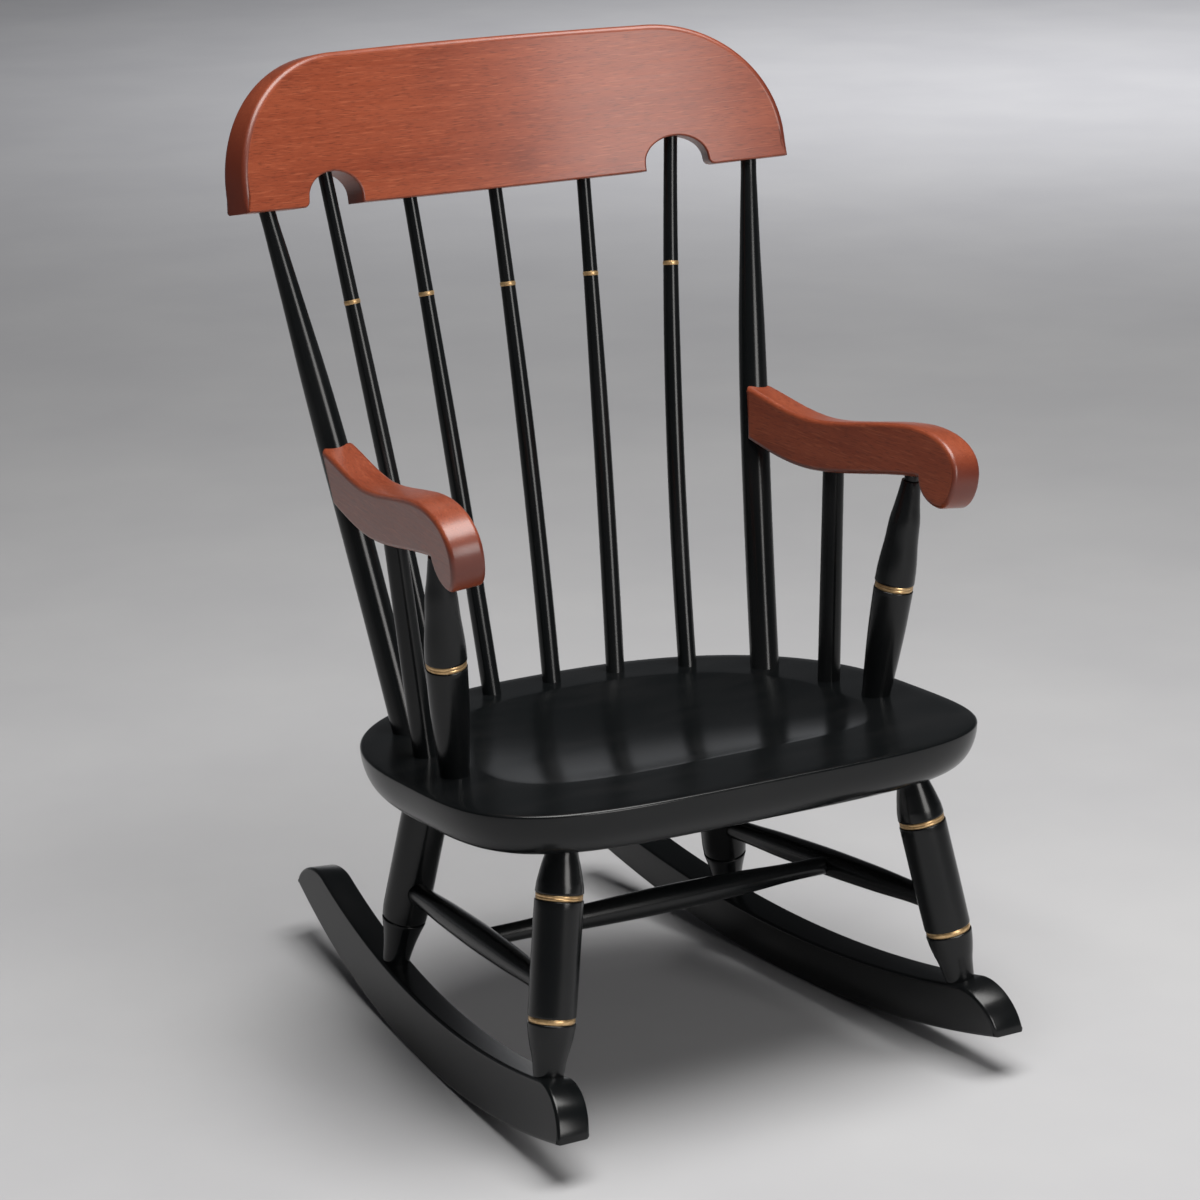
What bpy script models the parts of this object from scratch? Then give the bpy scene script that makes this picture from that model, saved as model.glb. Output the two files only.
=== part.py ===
"""Child's rocking chair: turned legs and spindles, bent crest rail, scrolled arms, curved rockers.

Metres, +Z up. The front of the chair faces -Y, and "left" is the side at -X.
Everything is modelled in the frame of the empty "chair", which rolls the chair on its rockers to
the angle at which it balances and stands it on the floor with its box centred on the origin.
"""

import math

import bmesh
import bpy
from mathutils import Matrix, Vector, geometry

# Fits shared by all joints
CLEARANCE = 0.0003
SOCKET_END_GAP = 0.0010
PROUD = 0.0060

# Rockers: planks that lean with the legs and stand closer together at the back
ROCKER_RADIUS = 0.926
ROCKER_FRONT = 0.2664
ROCKER_REAR = 0.2585
ROCKER_THICKNESS = 0.0249
ROCKER_HEIGHT = 0.0388
ROCKER_TOP_RADIUS = 0.987
ROCKER_TOP_SHIFT = 0.013
ROCKER_SEAT_MARGIN = 0.0544
ROCKER_TOE = 0.0963
ROCKER_CANT = 0.1431
ROCKER_NOSE_LENGTH = 0.0404
ROCKER_TAIL_LENGTH = 0.0535
ROCKER_END_LIFT = 0.0030
ROCKER_EDGE = 0.0026

# Seat: shield-shaped saddle plank, lower at the back
SEAT_HEIGHT = 0.2386
SEAT_PITCH = math.radians(-4.21)
SEAT_WIDTH = 0.426
SEAT_WIDEST = -0.100
SEAT_REAR = 0.1165
SEAT_FRONT = -0.2326
SEAT_REAR_POWER = 2.58
SEAT_FRONT_POWER = 3.6
SEAT_THICKNESS = 0.033
SEAT_UNDERCUT = 0.015
SEAT_EDGE = 0.0035
SEAT_RIM = 0.046
SEAT_DISH_DEPTH = 0.010
SEAT_DISH_CENTRE = -0.045

# Crest rail: plank bent round an axis that leans with the back
CREST_HALF_LENGTH = 0.2345
CREST_HEIGHT = 0.1125
CREST_CROWN = 0.0023
CREST_THICKNESS = 0.0215
CREST_BEND_RADIUS = 0.603
CREST_LEAN = math.radians(-14.04)
CREST_BACK = 0.1753
CREST_BOTTOM = 0.5965
CREST_SHOULDER_LENGTH = 0.1035
CREST_SHOULDER_HEIGHT = 0.0955
CREST_NOTCH_HALF_WIDTH = 0.0250
CREST_NOTCH_HEIGHT = 0.0245
CREST_NOTCH_FILLET = 0.0055
CREST_FRONT_EDGE = 0.0042
CREST_BACK_EDGE = 0.0024
CREST_END_MARGIN = 0.0288

# Back spindles and back posts
SPINDLE_SEAT_SHARE = 0.35
SPINDLE_CREST_SPACING = 0.0735
SPINDLE_LINE_INSET = 0.0253
SPINDLE_LINE_POWER = 2.4
SPINDLE_BASE_RADIUS = 0.0071
SPINDLE_TOP_RADIUS = 0.0052
SPINDLE_RING_DROP = 0.0715
SPINDLE_RING_WIDTH = 0.0032
SPINDLE_RING_DEPTH = 0.0004
POST_SEAT_MARGIN = 0.0607
POST_RADIUS = 0.0110
POST_TOP_RADIUS = 0.0060
POST_TAPER_LENGTH = 0.175

# Arms: sawn S-shaped planks, coped to the back posts, each with a scroll at the front
ARM_HEIGHT = 0.420
ARM_FLARE = math.radians(5.2)
ARM_THICKNESS = 0.0235
ARM_EDGE = 0.0034
ARM_REACH = 0.2515
ARM_HEEL_SETBACK = 0.0040
ARM_HEEL_TOP = 0.0205
ARM_HEEL_BOTTOM = -0.0163
ARM_WAIST_REACH = 0.068
ARM_WAIST_TOP = 0.0117
ARM_BELLY_REACH = 0.078
ARM_BELLY = -0.0222
ARM_CROWN_SETBACK = 0.0535
ARM_CROWN = 0.0308
ARM_SCROLL_MIDDLE = 0.0010
ARM_TIP_SETBACK = 0.0155
ARM_TIP = -0.0198
ARM_NOTCH_SETBACK = 0.0430
ARM_NOTCH = -0.0005
ARM_ROUNDNESS = 0.55

# Arm supports
ARM_SPINDLE_SEAT_MARGIN = 0.0432
ARM_SPINDLE_SEAT_Y = -0.0337
ARM_SPINDLE_REACH = 0.1018
ARM_SPINDLE_RADIUS = 0.0085
ARM_SPINDLE_TOP_RADIUS = 0.0080
ARM_POST_SEAT_MARGIN = 0.0382
ARM_POST_SEAT_Y = -0.0903
ARM_POST_SETBACK = 0.0607
ARM_POST_BASE_RADIUS = 0.0106
ARM_POST_BODY_RADIUS = 0.0145
ARM_POST_TOP_RADIUS = 0.0070
ARM_POST_RING_HEIGHT = 0.0865
ARM_POST_RING_WIDTH = 0.0046

# Arm screws, from the back of each post into the heel of its arm
SCREW_HEAD_RADIUS = 0.0042
SCREW_HEAD_HEIGHT = 0.0032
SCREW_SHANK_RADIUS = 0.0021
SCREW_BITE = 0.024
SCREW_SUNK = 0.0015

# Legs, each aimed from its rocker at a point of the seat
FRONT_LEG_FOOT = -0.2153
FRONT_LEG_SEAT_MARGIN = 0.0766
FRONT_LEG_AIM_Y = -0.1803
REAR_LEG_FOOT = 0.0705
REAR_LEG_SEAT_MARGIN = 0.0996
REAR_LEG_AIM_Y = 0.0480
LEG_NECK_RADIUS = 0.0108
LEG_NECK_LENGTH = 0.0045
LEG_SHOULDER_DROP = 0.0265
FRONT_LEG_RADIUS = 0.0168
REAR_LEG_RADIUS = 0.0174
LEG_FOOT_RADIUS = 0.0099
LEG_ANKLE_RADIUS = 0.0124
LEG_FOOT_LENGTH = 0.0345
LEG_RING_DROP = 0.0385
LEG_RING_WIDTH = 0.0042
LEG_BEAD_WIDTH = 0.0060
LEG_RING_DEPTH = 0.0010
LEG_GROOVE_WIDTH = 0.0020

# Stretchers
SIDE_STRETCHER_FRONT_HEIGHT = 0.1232
SIDE_STRETCHER_REAR_HEIGHT = 0.0990
SIDE_STRETCHER_RADIUS = 0.0103
SIDE_STRETCHER_END_RADIUS = 0.0080
CROSS_STRETCHER_SHARE = 0.48
CROSS_STRETCHER_RADIUS = 0.0102
CROSS_STRETCHER_END_RADIUS = 0.0068
STRETCHER_END_LENGTH = 0.022
STRETCHER_SWELL_SHARE = 0.27

# How deep the ends sit
SEAT_SOCKET = SEAT_THICKNESS * 0.45
CREST_SOCKET = 0.018
ARM_SOCKET = 0.014
ROCKER_SOCKET = 0.022
ROCKER_TENON_RADIUS = 0.0072
ROCKER_HOUSING = 0.0013
LEG_SOCKET = 0.0105
STRETCHER_SOCKET = 0.0060

# The pose in which the chair balances, and its place over the origin
REST_ROLL = math.radians(1.562)
ORIGIN_SHIFT = -0.02022

# Steps of the turned pieces and the curves
LEG_STEPS = 20
POST_STEPS = 18
SPINDLE_STEPS = 14
ARC_STEP = math.radians(1.25)
TOP_STEPS = 16
CURVE_STEPS = 6
SEAT_STEPS = 60
CREST_STRIPS = 24

CHERRY = ("cherry_wood", (0.36, 0.105, 0.045), 0.34, 0.0)
LACQUER = ("black_lacquer", (0.008, 0.009, 0.010), 0.28, 0.0)
GOLD = ("gold_paint", (0.83, 0.58, 0.22), 0.35, 0.6)
STEEL = ("screw_steel", (0.45, 0.44, 0.42), 0.40, 1.0)

SIDES = (("left", -1), ("right", 1))


def clear_scene():
    """Remove whatever the scene holds."""
    for item in list(bpy.data.objects):
        bpy.data.objects.remove(item, do_unlink=True)


def material(finish):
    """Return the Principled material of a finish, made once."""
    name, colour, roughness, metallic = finish
    made = bpy.data.materials.get(name)
    if made is None:
        made = bpy.data.materials.new(name)
        made.use_nodes = True
        shader = made.node_tree.nodes["Principled BSDF"]
        shader.inputs["Base Color"].default_value = (*colour, 1.0)
        shader.inputs["Roughness"].default_value = roughness
        shader.inputs["Metallic"].default_value = metallic
        made.diffuse_color = (*colour, 1.0)
    return made


def add_object(name, bm, frame, chair, *finishes):
    """Make a smooth-shaded object of a bmesh and place it in the chair's frame."""
    bmesh.ops.recalc_face_normals(bm, faces=bm.faces)
    mesh = bpy.data.meshes.new(name)
    bm.to_mesh(mesh)
    bm.free()
    for finish in finishes:
        mesh.materials.append(material(finish))
    mesh.shade_smooth()
    mesh.set_sharp_from_angle(angle=math.radians(32))
    made = bpy.data.objects.new(name, mesh)
    bpy.context.scene.collection.objects.link(made)
    made.parent = chair
    made.location = frame.to_translation()
    made.rotation_euler = frame.to_euler()
    return made


def smooth(keys, steps=2):
    """Points of a turned profile that flows through its key (height, radius) pairs."""
    points = [keys[0]]
    for index in range(len(keys) - 1):
        before = keys[max(index - 1, 0)]
        start, end = keys[index], keys[index + 1]
        after = keys[min(index + 2, len(keys) - 1)]
        span = end[0] - start[0]
        slope_in = (end[1] - before[1]) / (end[0] - before[0]) * span
        slope_out = (after[1] - start[1]) / (after[0] - start[0]) * span
        for step in range(1, steps + 1):
            t = step / steps
            rise = (3 - 2 * t) * t * t
            bend = slope_in * t * (1 - t) ** 2 - slope_out * t * t * (1 - t)
            points.append((start[0] + span * t, start[1] + (end[1] - start[1]) * rise + bend))
    return points


def turned_body(profile, steps):
    """Spin a profile of (height, radius) points round Z into one closed body."""
    bm = bmesh.new()
    points = [(profile[0][0], 0.0), *profile, (profile[-1][0], 0.0)]
    verts = [bm.verts.new((radius, 0.0, height)) for height, radius in points]
    for pair in zip(verts, verts[1:]):
        bm.edges.new(pair)
    outline = bm.verts[:] + bm.edges[:]
    bmesh.ops.spin(bm, geom=outline, cent=(0, 0, 0), axis=(0, 0, 1), angle=math.tau, steps=steps)
    bmesh.ops.remove_doubles(bm, verts=bm.verts, dist=0.000001)
    bmesh.ops.recalc_face_normals(bm, faces=bm.faces)
    return bm


def paint_bands(bm, bands):
    """Give the faces whose middles lie between two heights the second material."""
    for face in bm.faces:
        height = face.calc_center_median().z
        if any(low < height < high for low, high in bands):
            face.material_index = 1


def bezier_path(knots, steps=CURVE_STEPS):
    """Points of a path whose knots hold a point, its heading in degrees and the reach in and out."""
    points = []
    for (start, heading, _, reach), (end, arrival, stop, _) in zip(knots, knots[1:]):
        leave = Vector((math.cos(math.radians(heading)), math.sin(math.radians(heading)))) * reach
        arrive = Vector((math.cos(math.radians(arrival)), math.sin(math.radians(arrival)))) * stop
        start, end = Vector(start), Vector(end)
        curve = geometry.interpolate_bezier(start, start + leave, end - arrive, end, steps + 1)
        points.extend(curve[:-1])
    points.append(Vector(knots[-1][0]))
    return points


def plank(outline, thickness, edges):
    """Extrude a closed outline in the XZ plane along Y and round its rims at -Y and +Y."""
    bm = bmesh.new()
    verts = [bm.verts.new((across, -thickness / 2, up)) for across, up in outline]
    front = bm.faces.new(verts)
    grown = bmesh.ops.extrude_face_region(bm, geom=[front])["geom"]
    back_verts = [item for item in grown if isinstance(item, bmesh.types.BMVert)]
    bmesh.ops.translate(bm, verts=back_verts, vec=(0, thickness, 0))
    bmesh.ops.recalc_face_normals(bm, faces=bm.faces)
    for side, width in zip((-1, 1), edges):
        rim = [
            edge for edge in bm.edges if all(vert.co.y * side > thickness / 2 - 1e-6 for vert in edge.verts)
        ]
        bmesh.ops.bevel(bm, geom=rim, offset=width, segments=2, profile=0.5, affect="EDGES")
    return bm


class Turning:
    """Axis and steps of a turned piece between two points of the chair."""

    def __init__(self, foot, head, steps):
        along = (head - foot).normalized()
        guide = (0.0, 1.0, 0.0) if abs(along.y) < abs(along.x) + abs(along.z) else (1.0, 0.0, 0.0)
        side = Vector(guide).cross(along).normalized()
        turn = Matrix((side, along.cross(side), along)).transposed()
        self.foot, self.head, self.steps = foot, head, steps
        self.along = along
        self.length = (head - foot).length
        self.frame = Matrix.Translation(foot) @ turn.to_4x4()

    def at(self, distance):
        """Point of the axis at a distance from its foot."""
        return self.foot + self.along * distance

    def at_height(self, height):
        """Point of the axis at a height over the floor."""
        return self.at((height - self.foot.z) / self.along.z)


class Chair:
    """Builds the pieces in the chair's frame and notes the bores that each piece receives."""

    def __init__(self):
        self.root = bpy.data.objects.new("chair", None)
        bpy.context.scene.collection.objects.link(self.root)
        self.root.rotation_euler = (REST_ROLL, 0.0, 0.0)
        self.root.location = (
            0.0,
            ROCKER_RADIUS * math.sin(REST_ROLL) + ORIGIN_SHIFT,
            ROCKER_RADIUS * (math.cos(ARC_STEP / 2) - math.cos(REST_ROLL)),
        )
        self.pieces = {}
        self.bores = {}

    def add(self, name, bm, frame, *finishes):
        """Keep a new piece under its name."""
        self.pieces[name] = add_object(name, bm, frame, self.root, *finishes)

    def turn(self, name, turning, profile, *finishes, bands=()):
        """Add a turned piece, with painted bands given as pairs of heights."""
        bm = turned_body(profile, turning.steps)
        paint_bands(bm, bands)
        self.add(name, bm, turning.frame, *finishes)

    def bore(self, name, turning, profile):
        """Note a bore along a turning's axis, its profile already with the clearance."""
        self.bores.setdefault(name, []).append((turning, profile))

    def foot_bore(self, name, turning, radius, depth):
        """Note the socket for the foot end of a turned piece."""
        wide = radius + CLEARANCE
        self.bore(name, turning, [(-depth - SOCKET_END_GAP, wide), (PROUD, wide)])

    def head_bore(self, name, turning, radius, depth):
        """Note the socket for the head end of a turned piece."""
        wide = radius + CLEARANCE
        end = turning.length + depth + SOCKET_END_GAP
        self.bore(name, turning, [(turning.length - PROUD, wide), (end, wide)])

    def cut_bores(self):
        """Cut every noted bore, with one cutter for each piece."""
        for name, bodies in self.bores.items():
            joined = bmesh.new()
            for turning, profile in bodies:
                body = turned_body(profile, turning.steps)
                body.transform(turning.frame)
                scratch = bpy.data.meshes.new("bore")
                body.to_mesh(scratch)
                body.free()
                joined.from_mesh(scratch)
                bpy.data.meshes.remove(scratch)
            cutter = add_object(name + "_bores", joined, Matrix.Identity(4), self.root)
            cutter.hide_render = True
            cutter.display_type = "WIRE"
            cut = self.pieces[name].modifiers.new("bores", "BOOLEAN")
            cut.operation = "DIFFERENCE"
            cut.solver = "EXACT"
            cut.use_self = True
            cut.object = cutter


def rocker_bottom(y):
    """Height of a rocker's underside."""
    return ROCKER_RADIUS - math.sqrt(ROCKER_RADIUS**2 - y**2)


def rocker_top(y):
    """Height of the middle of a rocker's top edge."""
    rise = ROCKER_TOP_RADIUS - math.sqrt(ROCKER_TOP_RADIUS**2 - (y - ROCKER_TOP_SHIFT) ** 2)
    return ROCKER_HEIGHT + rise


def rocker_point(y, z, side, out=0.0):
    """Point of a rocker, out being the distance outwards from its middle plane."""
    across = from_middle(ROCKER_SEAT_MARGIN) + out - ROCKER_TOE * y - ROCKER_CANT * z
    share = (z - rocker_bottom(y)) / ROCKER_HEIGHT
    return Vector((side * across, y, z + ROCKER_CANT * out * share))


def rocker_slope(y):
    """Heading in degrees of the top edge towards the back."""
    return math.degrees(math.asin((y - ROCKER_TOP_SHIFT) / ROCKER_TOP_RADIUS))


def rocker_outline():
    """Closed side view of a rocker: two arcs, a rounded nose and a longer rounded tail."""
    turns = [(step + 0.5) * ARC_STEP - REST_ROLL for step in range(-40, 40)]
    stations = [ROCKER_RADIUS * math.sin(turn) for turn in turns]
    margin = ROCKER_END_LIFT * 2
    stations = [y for y in stations if margin - ROCKER_FRONT < y < ROCKER_REAR - margin]
    under = [(y, rocker_bottom(y)) for y in (-ROCKER_FRONT, *stations, ROCKER_REAR)]
    tail_start = ROCKER_REAR - ROCKER_TAIL_LENGTH
    nose_end = ROCKER_NOSE_LENGTH - ROCKER_FRONT
    tail_heading = 180 + rocker_slope(tail_start)
    tail = bezier_path([
        ((ROCKER_REAR, rocker_bottom(ROCKER_REAR) + ROCKER_END_LIFT), 97, 0.0, ROCKER_TAIL_LENGTH * 0.22),
        ((tail_start, rocker_top(tail_start)), tail_heading, ROCKER_TAIL_LENGTH * 0.42, 0.0),
    ])
    nose = bezier_path([
        ((nose_end, rocker_top(nose_end)), 180 + rocker_slope(nose_end), 0.0, ROCKER_NOSE_LENGTH * 0.40),
        ((-ROCKER_FRONT, rocker_bottom(ROCKER_FRONT) + ROCKER_END_LIFT), 258, ROCKER_NOSE_LENGTH * 0.50, 0.0),
    ])
    top_length = tail_start - nose_end
    over = [tail_start - top_length * step / TOP_STEPS for step in range(1, TOP_STEPS)]
    return under + [tuple(point) for point in tail] + [(y, rocker_top(y)) for y in over] + [
        tuple(point) for point in nose
    ]


def build_rocker(chair, name, side):
    """A curved plank, leant in with the legs and toed in at the back."""
    bm = plank(rocker_outline(), ROCKER_THICKNESS, (ROCKER_EDGE, ROCKER_EDGE))
    for vert in bm.verts:
        y, out, z = vert.co
        vert.co = rocker_point(y, z, side, out)
    chair.add("rocker_" + name, bm, Matrix.Identity(4), LACQUER)


def from_middle(margin):
    """Distance from the chair's middle of what stands a margin inside the seat's widest edge."""
    return SEAT_WIDTH / 2 - margin


def seat_frame():
    """Frame of the seat, with its origin in the plane of the rim."""
    return Matrix.Translation((0.0, 0.0, SEAT_HEIGHT)) @ Matrix.Rotation(SEAT_PITCH, 4, "X")


def seat_point(x, y, drop=0.0):
    """Point of the seat in the chair's frame, drop being the depth under the rim's plane."""
    return seat_frame() @ Vector((x, y, -drop))


def spindle_line(x):
    """Distance back of the curved row of spindles at a distance across the seat."""
    half = SEAT_WIDTH / 2 - SPINDLE_LINE_INSET
    depth = SEAT_REAR - SEAT_WIDEST - SPINDLE_LINE_INSET
    power = SPINDLE_LINE_POWER
    return SEAT_WIDEST + depth * (1 - (abs(x) / half) ** power) ** (1 / power)


def seat_loop(bm, inset, height, share=1.0):
    """One ring of the seat: the shield outline, drawn in and shrunk towards the dish."""
    half = SEAT_WIDTH / 2 - inset
    ring = []
    for step in range(SEAT_STEPS):
        angle = math.tau * step / SEAT_STEPS
        cosine, sine = math.cos(angle), math.sin(angle)
        behind = sine >= 0
        power = SEAT_REAR_POWER if behind else SEAT_FRONT_POWER
        depth = (SEAT_REAR - SEAT_WIDEST if behind else SEAT_WIDEST - SEAT_FRONT) - inset
        x = half * math.copysign(abs(cosine) ** (2 / power), cosine)
        y = SEAT_WIDEST + depth * math.copysign(abs(sine) ** (2 / power), sine)
        y = SEAT_DISH_CENTRE + (y - SEAT_DISH_CENTRE) * share
        ring.append(bm.verts.new((x * share, y, height)))
    return ring


def build_seat(chair):
    """The saddle seat: undercut edge, flat rim and a shallow dish."""
    bm = bmesh.new()
    edge = [
        (SEAT_EDGE * (1 - math.cos(turn)), SEAT_EDGE * (math.sin(turn) - 1))
        for turn in (0.0, math.pi / 4, math.pi / 2)
    ]
    below = SEAT_THICKNESS - SEAT_UNDERCUT * 1.45
    steps = 3
    levels = [(SEAT_UNDERCUT, -SEAT_THICKNESS)]
    for step in range(1, steps + 1):
        turn = math.pi / 2 * step / steps
        levels.append((
            SEAT_UNDERCUT * (1 - math.sin(turn)) * 0.92,
            -below - (SEAT_THICKNESS - below) * math.cos(turn) * 0.96,
        ))
    levels += edge
    rings = [seat_loop(bm, inset, height) for inset, height in levels]
    for share in (1.0, 0.86, 0.68, 0.46, 0.20):
        sink = SEAT_DISH_DEPTH * (1 - share**2) ** 1.5
        rings.append(seat_loop(bm, SEAT_RIM, -sink, share))
    for lower, upper in zip(rings, rings[1:]):
        for step in range(SEAT_STEPS):
            ahead = (step + 1) % SEAT_STEPS
            bm.faces.new((lower[step], lower[ahead], upper[ahead], upper[step]))
    bm.faces.new(rings[0])
    bm.faces.new(rings[-1])
    chair.add("seat", bm, seat_frame(), LACQUER)


def crest_frame():
    """Frame of the crest rail, at the middle of its bottom edge, leaning back."""
    return Matrix.Translation((0.0, CREST_BACK, CREST_BOTTOM)) @ Matrix.Rotation(CREST_LEAN, 4, "X")


def bend_crest(along, through, up):
    """Bend a point of the flat rail, along being measured on its middle surface."""
    radius = CREST_BEND_RADIUS + through
    angle = along / CREST_BEND_RADIUS
    return Vector((radius * math.sin(angle), radius * math.cos(angle) - CREST_BEND_RADIUS, up))


def crest_outline():
    """Closed front view of the flat rail: elliptical shoulders, a low crown and two notches."""
    shoulder = CREST_HALF_LENGTH - CREST_SHOULDER_LENGTH
    side_height = CREST_HEIGHT - CREST_CROWN - CREST_SHOULDER_HEIGHT
    notch = SPINDLE_CREST_SPACING * 2
    rise = CREST_NOTCH_HEIGHT - CREST_NOTCH_FILLET
    half = [(0.0, 0.0), (notch - CREST_NOTCH_HALF_WIDTH, 0.0)]
    for step in range(9):
        turn = math.pi * (1 - step / 8)
        half.append((
            notch + CREST_NOTCH_HALF_WIDTH * math.cos(turn),
            CREST_NOTCH_FILLET + rise * math.sin(turn),
        ))
    fillet = notch + CREST_NOTCH_HALF_WIDTH + CREST_NOTCH_FILLET
    for step in range(1, 4):
        turn = math.pi / 2 * step / 3
        half.append((
            fillet - CREST_NOTCH_FILLET * math.cos(turn),
            CREST_NOTCH_FILLET * (1 - math.sin(turn)),
        ))
    half.append((CREST_HALF_LENGTH, 0.0))
    for step in range(11):
        turn = math.pi / 2 * step / 10
        half.append((
            shoulder + CREST_SHOULDER_LENGTH * math.cos(turn),
            side_height + CREST_SHOULDER_HEIGHT * math.sin(turn),
        ))
    for step in range(1, 6):
        share = 1 - step / 5
        half.append((shoulder * share, CREST_HEIGHT - CREST_CROWN * share**2))
    mirrored = [(-across, up) for across, up in reversed(half[1:-1])]
    return half + mirrored


def build_crest(chair):
    """The bent crest rail, cut into strips so that it can follow its bend."""
    bm = plank(crest_outline(), CREST_THICKNESS, (CREST_FRONT_EDGE, CREST_BACK_EDGE))
    for strip in range(1, CREST_STRIPS):
        along = CREST_HALF_LENGTH * (2 * strip / CREST_STRIPS - 1)
        geom = bm.verts[:] + bm.edges[:] + bm.faces[:]
        bmesh.ops.bisect_plane(bm, geom=geom, dist=0.0002, plane_co=(along, 0, 0), plane_no=(1, 0, 0))
    for vert in bm.verts:
        vert.co = bend_crest(*vert.co)
    chair.add("crest_rail", bm, crest_frame(), CHERRY)


def crest_point(along, up=0.0):
    """Point in the middle of the rail's thickness."""
    return crest_frame() @ bend_crest(along, 0.0, up)


def spindle_radius(turning, height):
    """Radius of a back spindle, tapering from the seat to the rail."""
    return SPINDLE_BASE_RADIUS + (SPINDLE_TOP_RADIUS - SPINDLE_BASE_RADIUS) * height / turning.length


def build_spindle(chair, number, place):
    """A back spindle with one painted ring, place counting outwards from the middle."""
    across = place * from_middle(POST_SEAT_MARGIN) * SPINDLE_SEAT_SHARE
    notched = abs(place) == 2
    foot = seat_point(across, spindle_line(across))
    head = crest_point(place * SPINDLE_CREST_SPACING, CREST_NOTCH_HEIGHT if notched else 0.0)
    turning = Turning(foot, head, SPINDLE_STEPS)
    plain_head = crest_point(place * SPINDLE_CREST_SPACING)
    ring = (plain_head - foot).length - SPINDLE_RING_DROP
    low, high = ring - SPINDLE_RING_WIDTH / 2, ring + SPINDLE_RING_WIDTH / 2
    straight = 0.010
    ring_radius = spindle_radius(turning, ring) - SPINDLE_RING_DEPTH
    profile = [
        (-SEAT_SOCKET, SPINDLE_BASE_RADIUS),
        (straight, SPINDLE_BASE_RADIUS),
        (low - 0.0006, spindle_radius(turning, low)),
        (low, ring_radius),
        (high, ring_radius),
        (high + 0.0006, spindle_radius(turning, high)),
        (turning.length - straight, SPINDLE_TOP_RADIUS),
        (turning.length + CREST_SOCKET, SPINDLE_TOP_RADIUS),
    ]
    chair.turn("back_spindle_%d" % number, turning, profile, LACQUER, GOLD, bands=[(low, high)])
    chair.foot_bore("seat", turning, SPINDLE_BASE_RADIUS, SEAT_SOCKET)
    chair.head_bore("crest_rail", turning, SPINDLE_TOP_RADIUS, CREST_SOCKET)


def post_turning(side):
    """Axis of a back post."""
    across = from_middle(POST_SEAT_MARGIN)
    foot = seat_point(side * across, spindle_line(across))
    head = crest_point(side * (CREST_HALF_LENGTH - CREST_END_MARGIN))
    return Turning(foot, head, POST_STEPS)


def post_profile(turning, extra=0.0):
    """Profile of a back post, extra being a clearance round it."""
    straight = 0.010
    taper = turning.length - POST_TAPER_LENGTH
    keys = [
        (taper, POST_RADIUS),
        (turning.length - POST_TAPER_LENGTH / 2, (POST_RADIUS + POST_TOP_RADIUS) / 2 + 0.0006),
        (turning.length - straight, POST_TOP_RADIUS),
    ]
    body = [(-SEAT_SOCKET, POST_RADIUS), *smooth(keys, 4), (turning.length + CREST_SOCKET, POST_TOP_RADIUS)]
    return [(height, radius + extra) for height, radius in body]


def build_post(chair, name, side):
    """A back post, plain and tapered into the rail."""
    turning = post_turning(side)
    chair.turn("back_post_" + name, turning, post_profile(turning), LACQUER)
    chair.foot_bore("seat", turning, POST_RADIUS, SEAT_SOCKET)
    chair.head_bore("crest_rail", turning, POST_TOP_RADIUS, CREST_SOCKET)
    chair.bore("arm_" + name, turning, post_profile(turning, CLEARANCE))


def arm_frame(side):
    """Frame of an arm: its origin on the post's axis, X forwards and out, Z up."""
    forward = Vector((side * math.sin(ARM_FLARE), -math.cos(ARM_FLARE), 0.0))
    across = Vector((0.0, 0.0, 1.0)).cross(forward)
    turn = Matrix((forward, across, Vector((0.0, 0.0, 1.0)))).transposed()
    return Matrix.Translation(post_turning(side).at_height(ARM_HEIGHT)) @ turn.to_4x4()


def arm_path(side):
    """Knots of the arm's side view, from the heel over the scroll and back underneath."""
    axis = post_turning(side).along
    lean = axis.y / axis.z
    brow = (ARM_CROWN - ARM_SCROLL_MIDDLE) * ARM_ROUNDNESS
    front = ARM_CROWN_SETBACK * ARM_ROUNDNESS
    chin = (ARM_SCROLL_MIDDLE - ARM_TIP) * ARM_ROUNDNESS
    curl = ARM_TIP_SETBACK * ARM_ROUNDNESS
    notch = (ARM_REACH - ARM_NOTCH_SETBACK, ARM_NOTCH)
    return [
        ((ARM_HEEL_SETBACK - lean * ARM_HEEL_TOP, ARM_HEEL_TOP), -20, 0.0, 0.022),
        ((ARM_WAIST_REACH, ARM_WAIST_TOP), 0, 0.028, 0.042),
        ((ARM_REACH - ARM_CROWN_SETBACK, ARM_CROWN), 0, 0.030, front),
        ((ARM_REACH, ARM_SCROLL_MIDDLE), -90, brow, chin),
        ((ARM_REACH - ARM_TIP_SETBACK, ARM_TIP), -180, curl, curl),
        (notch, 120, curl, 0.0),
    ], [
        (notch, 186, 0.0, 0.045),
        ((ARM_BELLY_REACH, ARM_BELLY), 180, 0.040, 0.025),
        ((ARM_HEEL_SETBACK - lean * ARM_HEEL_BOTTOM, ARM_HEEL_BOTTOM), 168, 0.022, 0.0),
    ]


def arm_underside(side, reach):
    """Height of the arm's underside over its frame at a distance forwards."""
    points = bezier_path(arm_path(side)[1])
    for ahead, behind in zip(points, points[1:]):
        if behind.x <= reach <= ahead.x:
            share = (reach - behind.x) / (ahead.x - behind.x)
            return behind.y + (ahead.y - behind.y) * share
    return ARM_NOTCH


def build_arm(chair, name, side):
    """A sawn arm with eased edges."""
    upper, lower = arm_path(side)
    outline = [tuple(point) for point in bezier_path(upper)[:-1] + bezier_path(lower)]
    bm = plank(outline, ARM_THICKNESS, (ARM_EDGE, ARM_EDGE))
    chair.add("arm_" + name, bm, arm_frame(side), CHERRY)


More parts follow.
